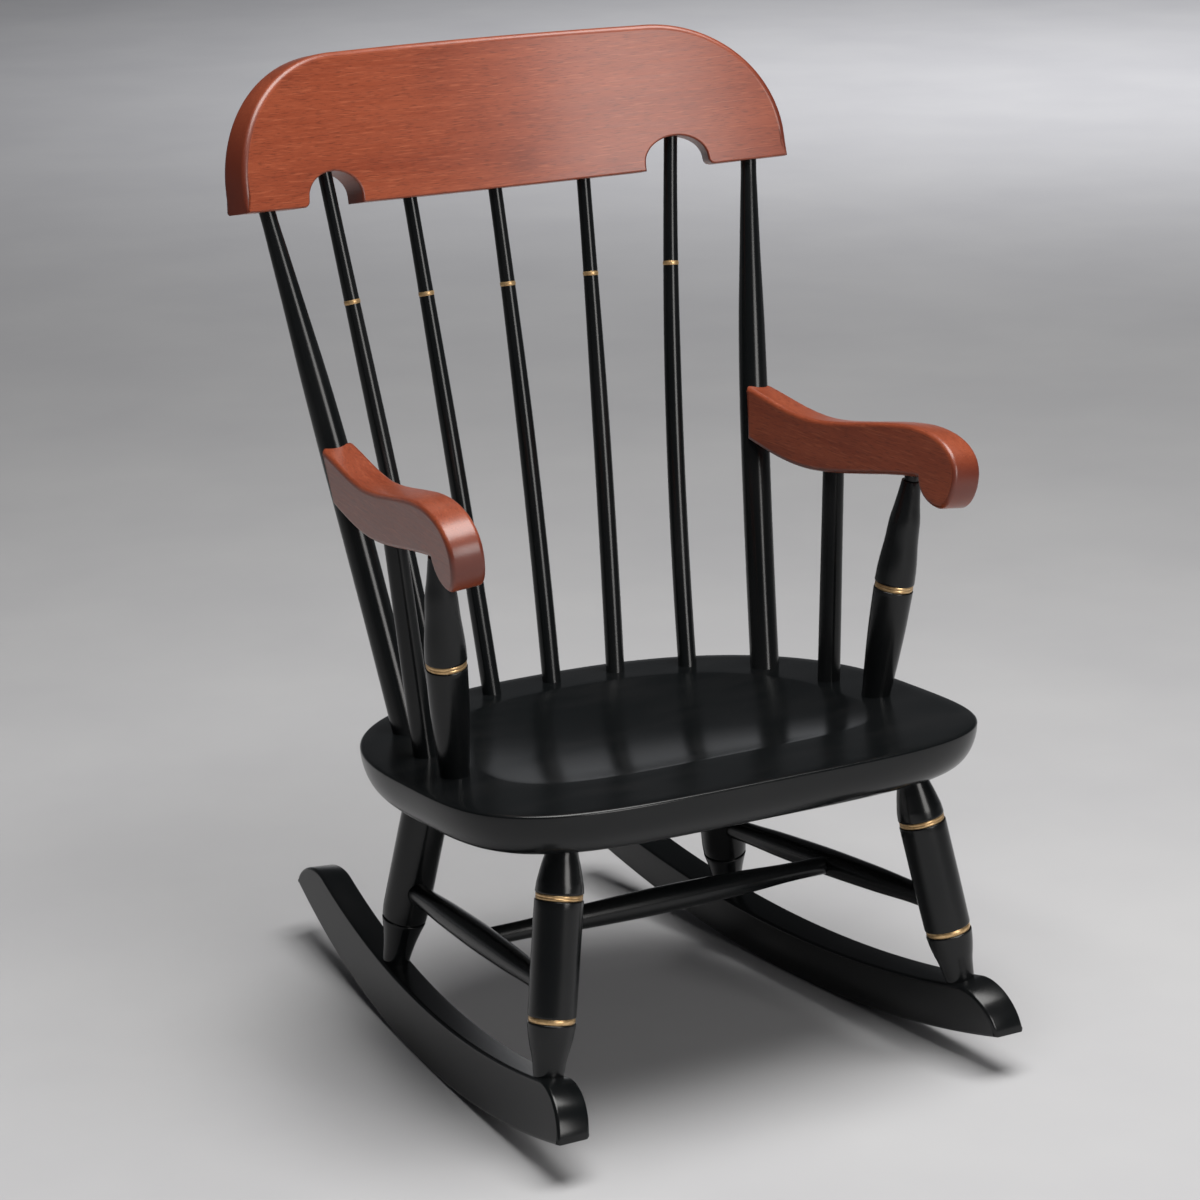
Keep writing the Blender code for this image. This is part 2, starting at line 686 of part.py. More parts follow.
def arm_support(side, margin, y, reach, steps):
    """Axis of a turned piece between the seat and the underside of an arm."""
    foot = seat_point(side * from_middle(margin), y)
    head = arm_frame(side) @ Vector((reach, 0.0, arm_underside(side, reach)))
    return Turning(foot, head, steps)


def build_arm_spindle(chair, name, side):
    """A plain spindle under the middle of an arm."""
    turning = arm_support(side, ARM_SPINDLE_SEAT_MARGIN, ARM_SPINDLE_SEAT_Y, ARM_SPINDLE_REACH, SPINDLE_STEPS)
    straight = 0.010
    profile = [
        (-SEAT_SOCKET, ARM_SPINDLE_RADIUS),
        (straight, ARM_SPINDLE_RADIUS),
        (turning.length - straight, ARM_SPINDLE_TOP_RADIUS),
        (turning.length + ARM_SOCKET, ARM_SPINDLE_TOP_RADIUS),
    ]
    chair.turn("arm_spindle_" + name, turning, profile, LACQUER)
    chair.foot_bore("seat", turning, ARM_SPINDLE_RADIUS, SEAT_SOCKET)
    chair.head_bore("arm_" + name, turning, ARM_SPINDLE_TOP_RADIUS, ARM_SOCKET)


def build_arm_post(chair, name, side):
    """A turned post under the front of an arm, swelling to a painted ring."""
    reach = ARM_REACH - ARM_POST_SETBACK
    turning = arm_support(side, ARM_POST_SEAT_MARGIN, ARM_POST_SEAT_Y, reach, LEG_STEPS)
    low = ARM_POST_RING_HEIGHT - ARM_POST_RING_WIDTH / 2
    high = ARM_POST_RING_HEIGHT + ARM_POST_RING_WIDTH / 2
    straight = 0.008
    ring_radius = ARM_POST_BODY_RADIUS - LEG_RING_DEPTH / 2
    under = smooth([
        (straight, ARM_POST_BASE_RADIUS),
        (low / 2, ARM_POST_BODY_RADIUS - 0.0012),
        (low, ARM_POST_BODY_RADIUS),
    ])
    over = smooth([
        (high, ARM_POST_BODY_RADIUS),
        (high + (turning.length - high) * 0.33, ARM_POST_BODY_RADIUS - 0.0012),
        (high + (turning.length - high) * 0.62, (ARM_POST_BODY_RADIUS + ARM_POST_TOP_RADIUS) / 2 + 0.0002),
        (turning.length - straight, ARM_POST_TOP_RADIUS),
    ])
    profile = [(-SEAT_SOCKET, ARM_POST_BASE_RADIUS), *under, (low + 0.0004, ring_radius)]
    profile += [(high - 0.0004, ring_radius), *over, (turning.length + ARM_SOCKET, ARM_POST_TOP_RADIUS)]
    chair.turn("arm_post_" + name, turning, profile, LACQUER, GOLD, bands=[(low, high)])
    chair.foot_bore("seat", turning, ARM_POST_BASE_RADIUS, SEAT_SOCKET)
    chair.head_bore("arm_" + name, turning, ARM_POST_TOP_RADIUS, ARM_SOCKET)


def build_arm_screw(chair, name, side):
    """A wood screw through the back post into the heel of the arm."""
    frame = arm_frame(side)
    back = frame @ Vector((-POST_RADIUS + SCREW_SUNK, 0.0, 0.0))
    tip = frame @ Vector((POST_RADIUS + SCREW_BITE, 0.0, 0.0))
    turning = Turning(back, tip, SPINDLE_STEPS)
    shank = SCREW_SHANK_RADIUS
    head = SCREW_HEAD_RADIUS
    profile = [
        (0.0, head),
        (SCREW_HEAD_HEIGHT, shank),
        (turning.length - 0.006, shank),
        (turning.length, shank / 3),
    ]
    chair.turn("arm_screw_" + name, turning, profile, STEEL)
    wide_head, wide_shank = head + CLEARANCE, shank + CLEARANCE
    end = turning.length + SOCKET_END_GAP
    start = -2 * POST_RADIUS
    bore = [(start, wide_head), (0.0, wide_head), (SCREW_HEAD_HEIGHT, wide_shank), (end, wide_shank)]
    chair.bore("back_post_" + name, turning, bore)
    chair.bore("arm_" + name, turning, [(POST_RADIUS / 2, wide_shank), (end, wide_shank)])


def leg_turning(side, foot_y, margin, aim_y):
    """Axis of a leg, from the top of its rocker towards a point of the seat's rim plane."""
    foot = rocker_point(foot_y, rocker_top(foot_y), side)
    aim = seat_point(side * from_middle(margin), aim_y)
    normal = seat_frame().to_3x3() @ Vector((0.0, 0.0, 1.0))
    under = geometry.intersect_line_plane(foot, aim, seat_point(0.0, 0.0, SEAT_THICKNESS), normal)
    return Turning(foot, under, LEG_STEPS)


def build_leg(chair, place, name, turning, radius, ringed):
    """A turned leg: neck, shoulder, long body and a tapering foot."""
    top = turning.length
    shoulder, ring = top - LEG_SHOULDER_DROP, top - LEG_RING_DROP
    ankle = LEG_FOOT_LENGTH / 2
    foot = smooth([
        (-ROCKER_HOUSING, LEG_FOOT_RADIUS),
        (ankle, LEG_ANKLE_RADIUS),
        (LEG_FOOT_LENGTH, radius - 0.0004),
    ])
    neck = smooth([
        (shoulder, radius - 0.0003),
        (shoulder + 0.010, radius - 0.0022),
        (top - LEG_NECK_LENGTH, LEG_NECK_RADIUS),
    ])
    lower_width = LEG_BEAD_WIDTH if ringed else LEG_GROOVE_WIDTH
    lower = (LEG_FOOT_LENGTH + 0.0005, LEG_FOOT_LENGTH + 0.0005 + lower_width)
    upper = (ring - LEG_RING_WIDTH / 2, ring + LEG_RING_WIDTH / 2)
    sunk = radius - LEG_RING_DEPTH
    profile = [(-ROCKER_SOCKET, ROCKER_TENON_RADIUS), (-ROCKER_HOUSING, ROCKER_TENON_RADIUS), *foot]
    profile += [(lower[0], sunk), (lower[1], sunk), (lower[1] + 0.0005, radius - 0.0004)]
    if ringed:
        profile += [(upper[0] - 0.0005, radius), (upper[0], sunk)]
        profile += [(upper[1], sunk), (upper[1] + 0.0008, radius - 0.0003)]
    profile += [*neck, (top + SEAT_SOCKET, LEG_NECK_RADIUS)]
    piece = "%s_leg_%s" % (place, name)
    finishes = (LACQUER, GOLD) if ringed else (LACQUER,)
    chair.turn(piece, turning, profile, *finishes, bands=[lower, upper] if ringed else ())
    chair.head_bore("seat", turning, LEG_NECK_RADIUS, SEAT_SOCKET)
    tenon, housing = ROCKER_TENON_RADIUS + CLEARANCE, LEG_FOOT_RADIUS + CLEARANCE
    floor = -ROCKER_HOUSING - CLEARANCE
    chair.bore("rocker_" + name, turning, [
        (-ROCKER_SOCKET - SOCKET_END_GAP, tenon),
        (floor, tenon),
        (floor, housing),
        (PROUD, housing),
    ])


def rod_profile(length, end_radius, middle_radius, start, stop):
    """Profile of a stretcher: straight ends and a long gentle swell."""
    near, far = start + STRETCHER_END_LENGTH, length - stop - STRETCHER_END_LENGTH
    quarter = (far - near) * STRETCHER_SWELL_SHARE
    swell = smooth([
        (near, end_radius),
        (near + quarter, (end_radius + middle_radius * 2) / 3),
        ((near + far) / 2, middle_radius),
        (far - quarter, (end_radius + middle_radius * 2) / 3),
        (far, end_radius),
    ], 2)
    return [(start, end_radius), *swell, (length - stop, end_radius)]


def side_stretcher_turning(side):
    """Axis of a side stretcher, between the axes of the legs."""
    front = leg_turning(side, FRONT_LEG_FOOT, FRONT_LEG_SEAT_MARGIN, FRONT_LEG_AIM_Y)
    rear = leg_turning(side, REAR_LEG_FOOT, REAR_LEG_SEAT_MARGIN, REAR_LEG_AIM_Y)
    return Turning(
        front.at_height(SIDE_STRETCHER_FRONT_HEIGHT), rear.at_height(SIDE_STRETCHER_REAR_HEIGHT), POST_STEPS
    )


def socket_rod(chair, turning, near, far, depth_near, depth_far, radius):
    """Note the sockets of a rod that starts and stops short of the axes it joins."""
    wide = radius + CLEARANCE
    chair.bore(near, turning, [(depth_near - SOCKET_END_GAP, wide), (depth_near + 4 * PROUD, wide)])
    end = turning.length - depth_far
    chair.bore(far, turning, [(end - 4 * PROUD, wide), (end + SOCKET_END_GAP, wide)])


def build_side_stretcher(chair, name, side):
    """A swelled rod between a front and a rear leg."""
    turning = side_stretcher_turning(side)
    start, stop = FRONT_LEG_RADIUS - LEG_SOCKET, REAR_LEG_RADIUS - LEG_SOCKET
    profile = rod_profile(turning.length, SIDE_STRETCHER_END_RADIUS, SIDE_STRETCHER_RADIUS, start, stop)
    chair.turn("side_stretcher_" + name, turning, profile, LACQUER)
    socket_rod(
        chair, turning, "front_leg_" + name, "rear_leg_" + name, start, stop, SIDE_STRETCHER_END_RADIUS
    )


def build_cross_stretcher(chair):
    """A swelled rod between the side stretchers."""
    ends = []
    for side in (-1, 1):
        rail = side_stretcher_turning(side)
        ends.append(rail.at(rail.length * CROSS_STRETCHER_SHARE))
    turning = Turning(*ends, POST_STEPS)
    start = SIDE_STRETCHER_RADIUS - STRETCHER_SOCKET
    profile = rod_profile(
        turning.length, CROSS_STRETCHER_END_RADIUS, CROSS_STRETCHER_RADIUS, start, start
    )
    chair.turn("cross_stretcher", turning, profile, LACQUER)
    near, far = "side_stretcher_left", "side_stretcher_right"
    socket_rod(chair, turning, near, far, start, start, CROSS_STRETCHER_END_RADIUS)


def build_chair():
    """Build every piece, then cut the sockets."""
    chair = Chair()
    build_seat(chair)
    build_crest(chair)
    for number, place in enumerate(range(-2, 3), start=1):
        build_spindle(chair, number, place)
    for name, side in SIDES:
        build_post(chair, name, side)
        build_arm(chair, name, side)
        build_arm_spindle(chair, name, side)
        build_arm_post(chair, name, side)
        build_arm_screw(chair, name, side)
        build_rocker(chair, name, side)
        front = leg_turning(side, FRONT_LEG_FOOT, FRONT_LEG_SEAT_MARGIN, FRONT_LEG_AIM_Y)
        rear = leg_turning(side, REAR_LEG_FOOT, REAR_LEG_SEAT_MARGIN, REAR_LEG_AIM_Y)
        build_leg(chair, "front", name, front, FRONT_LEG_RADIUS, ringed=True)
        build_leg(chair, "rear", name, rear, REAR_LEG_RADIUS, ringed=False)
        build_side_stretcher(chair, name, side)
    build_cross_stretcher(chair)
    chair.cut_bores()


if __name__ == "__main__":
    clear_scene()
    build_chair()
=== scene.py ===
"""Looks of a child's rocking chair: cherry crest rail and arms over black lacquered turnings.

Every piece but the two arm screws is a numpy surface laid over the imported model. Sizes are metres
in the chair's own frame, where the rockers' arcs have their lowest point at the origin; Stance
then rolls the chair to its balance and stands it in the row frame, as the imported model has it.
"""

from __future__ import annotations

import logging
import math
from dataclasses import dataclass
from enum import Enum
from typing import Callable, Sequence

import bpy
import numpy as np
from mathutils import Matrix

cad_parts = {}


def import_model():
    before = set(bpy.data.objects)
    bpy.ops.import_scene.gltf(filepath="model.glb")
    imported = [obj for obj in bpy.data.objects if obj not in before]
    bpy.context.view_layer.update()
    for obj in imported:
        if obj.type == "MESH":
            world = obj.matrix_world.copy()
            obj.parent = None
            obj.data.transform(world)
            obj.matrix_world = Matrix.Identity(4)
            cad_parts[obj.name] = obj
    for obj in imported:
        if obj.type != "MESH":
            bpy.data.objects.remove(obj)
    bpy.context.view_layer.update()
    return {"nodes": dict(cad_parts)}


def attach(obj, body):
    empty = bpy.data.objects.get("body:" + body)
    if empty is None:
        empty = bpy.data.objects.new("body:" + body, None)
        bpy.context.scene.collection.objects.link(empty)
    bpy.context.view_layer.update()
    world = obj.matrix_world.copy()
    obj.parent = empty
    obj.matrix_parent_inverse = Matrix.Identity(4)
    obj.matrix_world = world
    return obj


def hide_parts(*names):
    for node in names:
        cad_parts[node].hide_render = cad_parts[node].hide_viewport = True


LOG = logging.getLogger("rocking_chair")
SHARP_ANGLE = math.radians(35.0)
EDGE_STEPS = 6
LIP_STEPS = 5
PROBE = 0.001
Array = np.ndarray
Pair = tuple[float, float]
Pairs = Sequence[Pair]
Place = tuple[float, float, float]
Colour = tuple[float, float, float]


class Side(Enum):
    """The two sides of the chair, as a front view shows them."""

    LEFT = -1
    RIGHT = 1

    @property
    def word(self) -> str:
        """The side's name in lower case."""
        return self.name.lower()


class Slot(Enum):
    """The record's material slots."""

    CHERRY = "cherry_wood"
    LACQUER = "black_lacquer"
    GOLD = "gold_paint"
    STEEL = "screw_steel"


# Curves and frames


def turned_about_x(degrees: float) -> Array:
    """Rotation matrix about X.

    Args:
        degrees: Angle of the turn, from +Y towards +Z.

    Returns:
        A 3 by 3 matrix.
    """
    turn = math.radians(degrees)
    cosine, sine = math.cos(turn), math.sin(turn)
    return np.array([[1, 0, 0], [0, cosine, -sine], [0, sine, cosine]])


def quarter(steps: int) -> tuple[Array, Array]:
    """Cosines and sines of even steps through a quarter turn, from 0 to 90 degrees."""
    turn = np.linspace(0.0, math.pi / 2, steps + 1)
    return np.cos(turn), np.sin(turn)


def flow(keys: Pairs, per: int) -> Array:
    """Draw a smooth line through key points without overshooting them.

    Each stretch is a cubic Hermite curve whose slope at a key is the harmonic mean of the slopes
    on both sides, or zero where they differ in sign.

    Args:
        keys: Pairs of place and value, the places rising.
        per: Points for each stretch.

    Returns:
        The line's points, one row each.
    """
    place, value = np.array(keys, float).T
    span, slope = np.diff(place), np.diff(value) / np.diff(place)
    inner = np.zeros(len(place) - 2)
    same = slope[:-1] * slope[1:] > 0
    inner[same] = 2 / (1 / slope[:-1][same] + 1 / slope[1:][same])
    tangent = np.concatenate([slope[:1], inner, slope[-1:]])
    t = np.arange(per)[None, :] / per
    start, end = value[:-1, None], value[1:, None]
    lead, tail = tangent[:-1, None] * span[:, None], tangent[1:, None] * span[:, None]
    curve = start * (1 + 2 * t) * (1 - t) ** 2 + lead * t * (1 - t) ** 2
    curve = curve + end * t**2 * (3 - 2 * t) - tail * t**2 * (1 - t)
    along = place[:-1, None] + span[:, None] * t
    points = np.stack([along.ravel(), curve.ravel()], axis=1)
    return np.vstack([points, [place[-1], value[-1]]])


def bezier(knots: Sequence[tuple[Pair, float, float, float]], per: int) -> Array:
    """Draw a path of cubic Bezier stretches.

    From a to d, with handles that end in b and c, a stretch is the sum of a (1 - t)^3,
    3 b t (1 - t)^2, 3 c t^2 (1 - t) and d t^3.

    Args:
        knots: For each knot its point, its heading in degrees, and the handles' reach on arrival
            and on leaving.
        per: Points for each stretch.

    Returns:
        The path's points, one row each.
    """
    t = (np.arange(per) / per)[:, None]
    rows = []
    for (start, heading, _, reach), (end, arrival, stop, _) in zip(knots, knots[1:]):
        a, d = np.array(start), np.array(end)
        turn, back = math.radians(heading), math.radians(arrival)
        b = a + reach * np.array([math.cos(turn), math.sin(turn)])
        c = d - stop * np.array([math.cos(back), math.sin(back)])
        rows.append(a * (1 - t) ** 3 + 3 * b * t * (1 - t) ** 2 + 3 * c * t**2 * (1 - t) + d * t**3)
    return np.vstack([*rows, [knots[-1][0]]])


def spread(path: Array, count: int) -> Array:
    """Place points evenly by length along a path.

    Args:
        path: The path's points.
        count: Number of points wanted.

    Returns:
        That many points along the same path.
    """
    run = np.concatenate([[0.0], np.cumsum(np.linalg.norm(np.diff(path, axis=0), axis=1))])
    wanted = np.linspace(0.0, run[-1], count)
    return np.stack([np.interp(wanted, run, column) for column in path.T], axis=1)


def rounded(inset: float) -> Array:
    """Quarter-round section of an edge.

    Args:
        inset: Radius of the round.

    Returns:
        Rows of (distance in from the outline, distance down from the face), from the side wall to
        the face.
    """
    cosine, sine = quarter(EDGE_STEPS)
    return np.stack([inset * (1 - cosine), inset * (1 - sine)], axis=1)


@dataclass(frozen=True)
class Stance:
    """How the chair stands: rolled to its balance, on the flat of its rockers' arcs."""

    roll: float = 1.562
    shift: float = -0.02022
    arc_radius: float = 0.926
    flat: float = 1.25

    @property
    def turn(self) -> Array:
        """Rotation from the chair's frame to the row frame."""
        return turned_about_x(self.roll)

    @property
    def move(self) -> Array:
        """Shift from the chair's frame to the row frame, after the turn."""
        roll, half = math.radians(self.roll), math.radians(self.flat / 2)
        rise = self.arc_radius * (math.cos(half) - math.cos(roll))
        return np.array([0.0, self.arc_radius * math.sin(roll) + self.shift, rise])

    def place(self, points: Array) -> Array:
        """Take points from the chair's frame to the row frame."""
        return points @ self.turn.T + self.move


STANCE = Stance()


@dataclass(frozen=True)
class Axis:
    """Axis of a turned piece, from foot to head in the chair's frame.

    The piece may be a little bowed: at a share t of the length it lies 4 t (1 - t) of the bow
    aside from the straight line.
    """

    foot: Array
    head: Array
    bow: float = 0.0

    @property
    def length(self) -> float:
        """Distance from foot to head."""
        return float(np.linalg.norm(self.head - self.foot))

    @property
    def along(self) -> Array:
        """Unit vector from foot to head."""
        return (self.head - self.foot) / self.length

    @property
    def turn(self) -> Array:
        """Matrix whose columns are two crossways unit vectors and the axis."""
        guide = np.array([0.0, 1.0, 0.0]) if abs(self.along[1]) < 0.9 else np.array([1.0, 0.0, 0.0])
        side = np.cross(guide, self.along)
        side = side / np.linalg.norm(side)
        return np.stack([side, np.cross(self.along, side), self.along], axis=1)

    def _aside(self, distance: Array) -> Array:
        """How far the bow, which runs along X, shifts points at some distances from the foot."""
        share = np.clip(distance / self.length, 0.0, 1.0)
        return 4 * self.bow * share * (1 - share) * np.array([1.0, 0.0, 0.0])

    def place(self, local: Array) -> Array:
        """Take points from the piece's own frame to the chair's frame."""
        return self.foot + local @ self.turn.T + self._aside(local[:, 2:])

    def at(self, distance: float) -> Array:
        """Point of the axis at a distance from its foot."""
        return self.foot + self.along * distance + self._aside(np.array(distance))

    def at_height(self, height: float) -> Array:
        """Point of the axis at a height in the chair's frame."""
        return self.at((height - self.foot[2]) / self.along[2])


# Meshes


def add_object(name: str, data: bpy.types.ID) -> bpy.types.Object:
    """Put a new object that shows some data in the scene."""
    made = bpy.data.objects.new(name, data)
    bpy.context.scene.collection.objects.link(made)
    return made


@dataclass
class Surface:
    """A mesh in the making.

    At each vertex it holds the grain's own coordinates, the share of end grain, and whether a flat
    face meets a rounded rim there: an edge between two such vertices is a crease and stays crisp.
    """

    points: Array
    grain: Array
    faces: list[Array]
    ends: Array | None = None
    creased: Array | None = None

    def _crease(self, mesh: bpy.types.Mesh) -> None:
        """Keep the creases crisp, besides the edges that are crisp for their angle."""
        pairs, sharp = np.empty(2 * len(mesh.edges), np.int32), np.empty(len(mesh.edges), bool)
        mesh.edges.foreach_get("vertices", pairs)
        mesh.edges.foreach_get("use_edge_sharp", sharp)
        sharp |= self.creased[pairs.reshape(-1, 2)].all(axis=1)
        mesh.edges.foreach_set("use_edge_sharp", sharp)

    def to_object(self, name: str, finish: "Finish", replaced: Sequence[str]) -> None:
        """Make the Blender object at the origin, ride it on the chair and give it its finish.

        Args:
            name: Name of the piece.
            finish: What it is finished in.
            replaced: CAD nodes that it stands for.
        """
        mesh = bpy.data.meshes.new(name)
        faces = [row.tolist() for block in self.faces for row in block]
        mesh.from_pydata(STANCE.place(self.points).tolist(), [], faces)
        mesh.validate()
        grain = mesh.attributes.new("grain", "FLOAT_VECTOR", "POINT")
        grain.data.foreach_set("vector", self.grain.astype(np.float32).ravel())
        ends = np.zeros(len(self.points)) if self.ends is None else self.ends
        end_grain = mesh.attributes.new("end_grain", "FLOAT", "POINT")
        end_grain.data.foreach_set("value", ends.astype(np.float32))
        mesh.shade_smooth()
        mesh.set_sharp_from_angle(angle=SHARP_ANGLE)
        if self.creased is not None:
            self._crease(mesh)
        mesh.materials.append(finish.material())
        made = add_object(name, mesh)
        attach(made, "root")
        if replaced:
            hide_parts(*replaced)
        LOG.info("%s: %d points in %s", name, len(self.points), finish.slot.value)


def ring_faces(rings: int, around: int, closed: bool = False) -> Array:
    """Quads between rings of points that lie one after another.

    Args:
        rings: Number of rings.
        around: Points in each ring.
        closed: Whether the last ring is joined to the first one too.

    Returns:
        Quads that face outwards where the rings climb along their axis and run right-handed to it.
    """
    ring, step = np.meshgrid(np.arange(rings if closed else rings - 1), np.arange(around), indexing="ij")
    here, above, ahead = ring * around, (ring + 1) % rings * around, (step + 1) % around
    return np.stack([here + step, here + ahead, above + ahead, above + step], axis=-1).reshape(-1, 4)


def closed_faces(rings: int, around: int) -> list[Array]:
    """Faces of a surface whose first and last ring close in a point of their own.

    Args:
        rings: Number of rings.
        around: Points in each ring.

    Returns:
        The rings' quads and the triangles of both ends, whose points follow the rings' own.
    """
    step, point, base = np.arange(around), np.full(around, rings * around), (rings - 1) * around
    ahead = (step + 1) % around
    first = np.stack([point, ahead, step], axis=1)
    last = np.stack([point + 1, base + step, base + ahead], axis=1)
    return [ring_faces(rings, around), first, last]


def grain_seed(name: str) -> Array:
    """Offset that gives each piece its own stretch of grain, worked out from its name."""
    number = sum((index + 3) * ord(letter) for index, letter in enumerate(name))
    return np.array([number % 17, number % 11, number % 7], float) * 0.37


def turned_rings(profile: Array, around: int) -> Array:
    """Rings of points that a profile draws as it turns about its axis.

    At distance d along the axis and angle a the point is (r(d) cos a, r(d) sin a, d).

    Args:
        profile: Rows of (distance from the foot, radius).
        around: Points in each ring.

    Returns:
        The points in the axis's frame, ring after ring.
    """
    turn = np.linspace(0.0, math.tau, around, endpoint=False)
    distance, radius = np.broadcast_to(profile[:, :1], (len(profile), around)), profile[:, 1:]
    return np.stack([radius * np.cos(turn), radius * np.sin(turn), distance], axis=-1).reshape(-1, 3)


def revolve(name: str, axis: Axis, profile: Array, around: int) -> Surface:
    """Turn a profile about its axis, as turned_rings has it, and close both ends on the axis.

    Args:
        name: Name of the piece, which picks its grain.
        axis: The piece's axis.
        profile: Rows of (distance from the foot, radius).
        around: Points round each ring.

    Returns:
        The closed surface.
    """
    ends = np.array([[0.0, 0.0, profile[0, 0]], [0.0, 0.0, profile[-1, 0]]])
    local = np.vstack([turned_rings(profile, around), ends])
    grain = local[:, [2, 0, 1]] + grain_seed(name)
    return Surface(axis.place(local), grain, closed_faces(len(profile), around))


@dataclass(frozen=True)
class Groove:
    """A groove turned between two rounded lips.

    Its floor, at a radius of its own, runs from low to high, counted from the foot. The piece has
    the radius below under it and above over it, and each lip is a quarter round.
    """

    low: float
    high: float
    below: float
    above: float
    floor: float
    lip: float = 0.0009

    def profile(self) -> Array:
        """Rows of (distance from the foot, radius): a lip, the floor and the other lip."""
        cosine, sine = quarter(LIP_STEPS)
        fall = (self.low - self.lip * (1 - sine), self.below - self.lip * (1 - cosine))
        rise = (self.high + self.lip * (1 - cosine), self.above - self.lip * (1 - sine))
        bed = [[self.low, self.floor], [self.high, self.floor]]
        return np.vstack([np.stack(fall, axis=1), bed, np.stack(rise, axis=1)])


def loft_plank(
    name: str,
    lower: Array,
    upper: Array,
    thickness: float,
    edges: Pair,
    place: Callable[[Array], Array],
    across: int,
    ease: Callable[[Array], Array] | None = None,
) -> Surface:
    """Make a plank between two rails of its outline, with rounded rims.

    The outline runs along the lower rail, up the far end, back along the upper rail and down the
    near end. Each rim is a set of rings drawn in from the outline along its mitred normals; each
    face is a grid whose columns run straight between the drawn-in rails. The rings run left-handed
    to the way they climb, so their quads are turned round, and where place mirrors the plank every
    face is turned round again: all of them face outwards.

    Args:
        name: Name of the piece, which picks its grain.
        lower: Points of the lower rail, as (along, up).
        upper: As many points of the upper rail, from the same end.
        thickness: Distance between the faces.
        edges: Radii of the rims at the -through and the +through face.
        place: Takes rows of (along, through, up) to the chair's frame.
        across: Steps of a column.
        ease: Gives, for rows of (along, up) of the outline, the share of the -through rim's
            radius that the rim has there; all of it where left out.

    Returns:
        The closed surface.
    """
    count = len(lower)
    share = (np.arange(1, across) / across)[:, None]
    far = lower[-1] * (1 - share) + upper[-1] * share
    near = upper[0] * (1 - share) + lower[0] * share
    loop = np.vstack([lower, far, upper[::-1], near])
    ahead = np.roll(loop, -1, axis=0) - loop
    ahead = ahead / np.linalg.norm(ahead, axis=1, keepdims=True)
    normal = np.stack([-ahead[:, 1], ahead[:, 0]], axis=1)
    before = np.roll(normal, 1, axis=0)
    mitre = (normal + before) / (1 + np.sum(normal * before, axis=1, keepdims=True))
    length = len(loop)

    def ring(inset: Array, depth: Array) -> Array:
        """One ring of the rim as rows of (along, through, up)."""
        flat = loop + mitre * inset[:, None]
        return np.stack([flat[:, 0], depth, flat[:, 1]], axis=1)

    half, full = thickness / 2, np.ones(length)
    eased = ease(loop) if ease else full
    front = [ring(inset * eased, drop * eased - half) for inset, drop in rounded(edges[0])]
    back = [ring(inset * full, (half - drop) * full) for inset, drop in rounded(edges[1])]
    rims = front[::-1] + back
    turned = np.tile(mitre[:, 0] ** 2, (len(rims), 1))
    turned[[0, -1]] = 0.0
    points, faces = [np.vstack(rims)], [ring_faces(len(rims), length)[:, ::-1]]
    total = len(rims) * length
    index = np.arange(length)
    low, rise = index[:count], index[count : count + across - 1]
    high = index[count + across - 1 : 2 * count + across - 1][::-1]
    fall = index[2 * count + across - 1 :][::-1]
    for rim, base in ((rims[0], 0), (rims[-1], (len(rims) - 1) * length)):
        start, end = rim[low[1:-1]][None], rim[high[1:-1]][None]
        inner = start * (1 - share[:, None]) + end * share[:, None]
        grid = np.empty((across + 1, count), int)
        grid[0], grid[-1] = base + low, base + high
        grid[1:-1, -1], grid[1:-1, 0] = base + rise, base + fall
        grid[1:-1, 1:-1] = total + np.arange(inner[..., 0].size).reshape(inner.shape[:2])
        total += inner[..., 0].size
        points.append(inner.reshape(-1, 3))
        quads = np.stack([grid[:-1, :-1], grid[:-1, 1:], grid[1:, 1:], grid[1:, :-1]], axis=-1).reshape(-1, 4)
        faces.append(quads[:, ::-1] if base else quads)
    probe = place(np.vstack([np.zeros(3), np.eye(3) * PROBE]))
    if np.linalg.det(probe[1:] - probe[0]) < 0:
        faces = [block[:, ::-1] for block in faces]
    flat = np.vstack(points)
    grain = flat[:, [0, 2, 1]] + grain_seed(name)
    ends, creased = np.zeros(len(flat)), np.zeros(len(flat), bool)
    ends[: turned.size] = np.clip(turned.ravel(), 0.0, 1.0)
    creased[:length] = creased[turned.size - length : turned.size] = True
    return Surface(place(flat), grain, faces, ends, creased)


# Shader maths and finishes


class Field:
    """A socket whose Python operators add the Math nodes that work them out."""

    def __init__(self, shading: "Shading", socket: bpy.types.NodeSocket) -> None:
        """Wrap an output socket of a shading tree."""
        self.shading = shading
        self.socket = socket

    def _math(self, operation: str, first: object, second: object = 0.0) -> "Field":
        """Add one Math node."""
        return self.shading.node("ShaderNodeMath", {"operation": operation}, {0: first, 1: second})

    def __add__(self, other: object) -> "Field":
        """Sum."""
        return self._math("ADD", self, other)

    def __radd__(self, other: object) -> "Field":
        """Reflected sum."""
        return self._math("ADD", other, self)

    def __sub__(self, other: object) -> "Field":
        """Difference."""
        return self._math("SUBTRACT", self, other)

    def __rsub__(self, other: object) -> "Field":
        """Reflected difference."""
        return self._math("SUBTRACT", other, self)

    def __mul__(self, other: object) -> "Field":
        """Product."""
        return self._math("MULTIPLY", self, other)

    def __rmul__(self, other: object) -> "Field":
        """Reflected product."""
        return self._math("MULTIPLY", other, self)

    def clip(self, low: float, high: float) -> "Field":
        """Share of the way from low to high, held between 0 and 1."""
        return self.shading.node(
            "ShaderNodeMapRange",
            {"clamp": True},
            {"Value": self, "From Min": low, "From Max": high},
        )


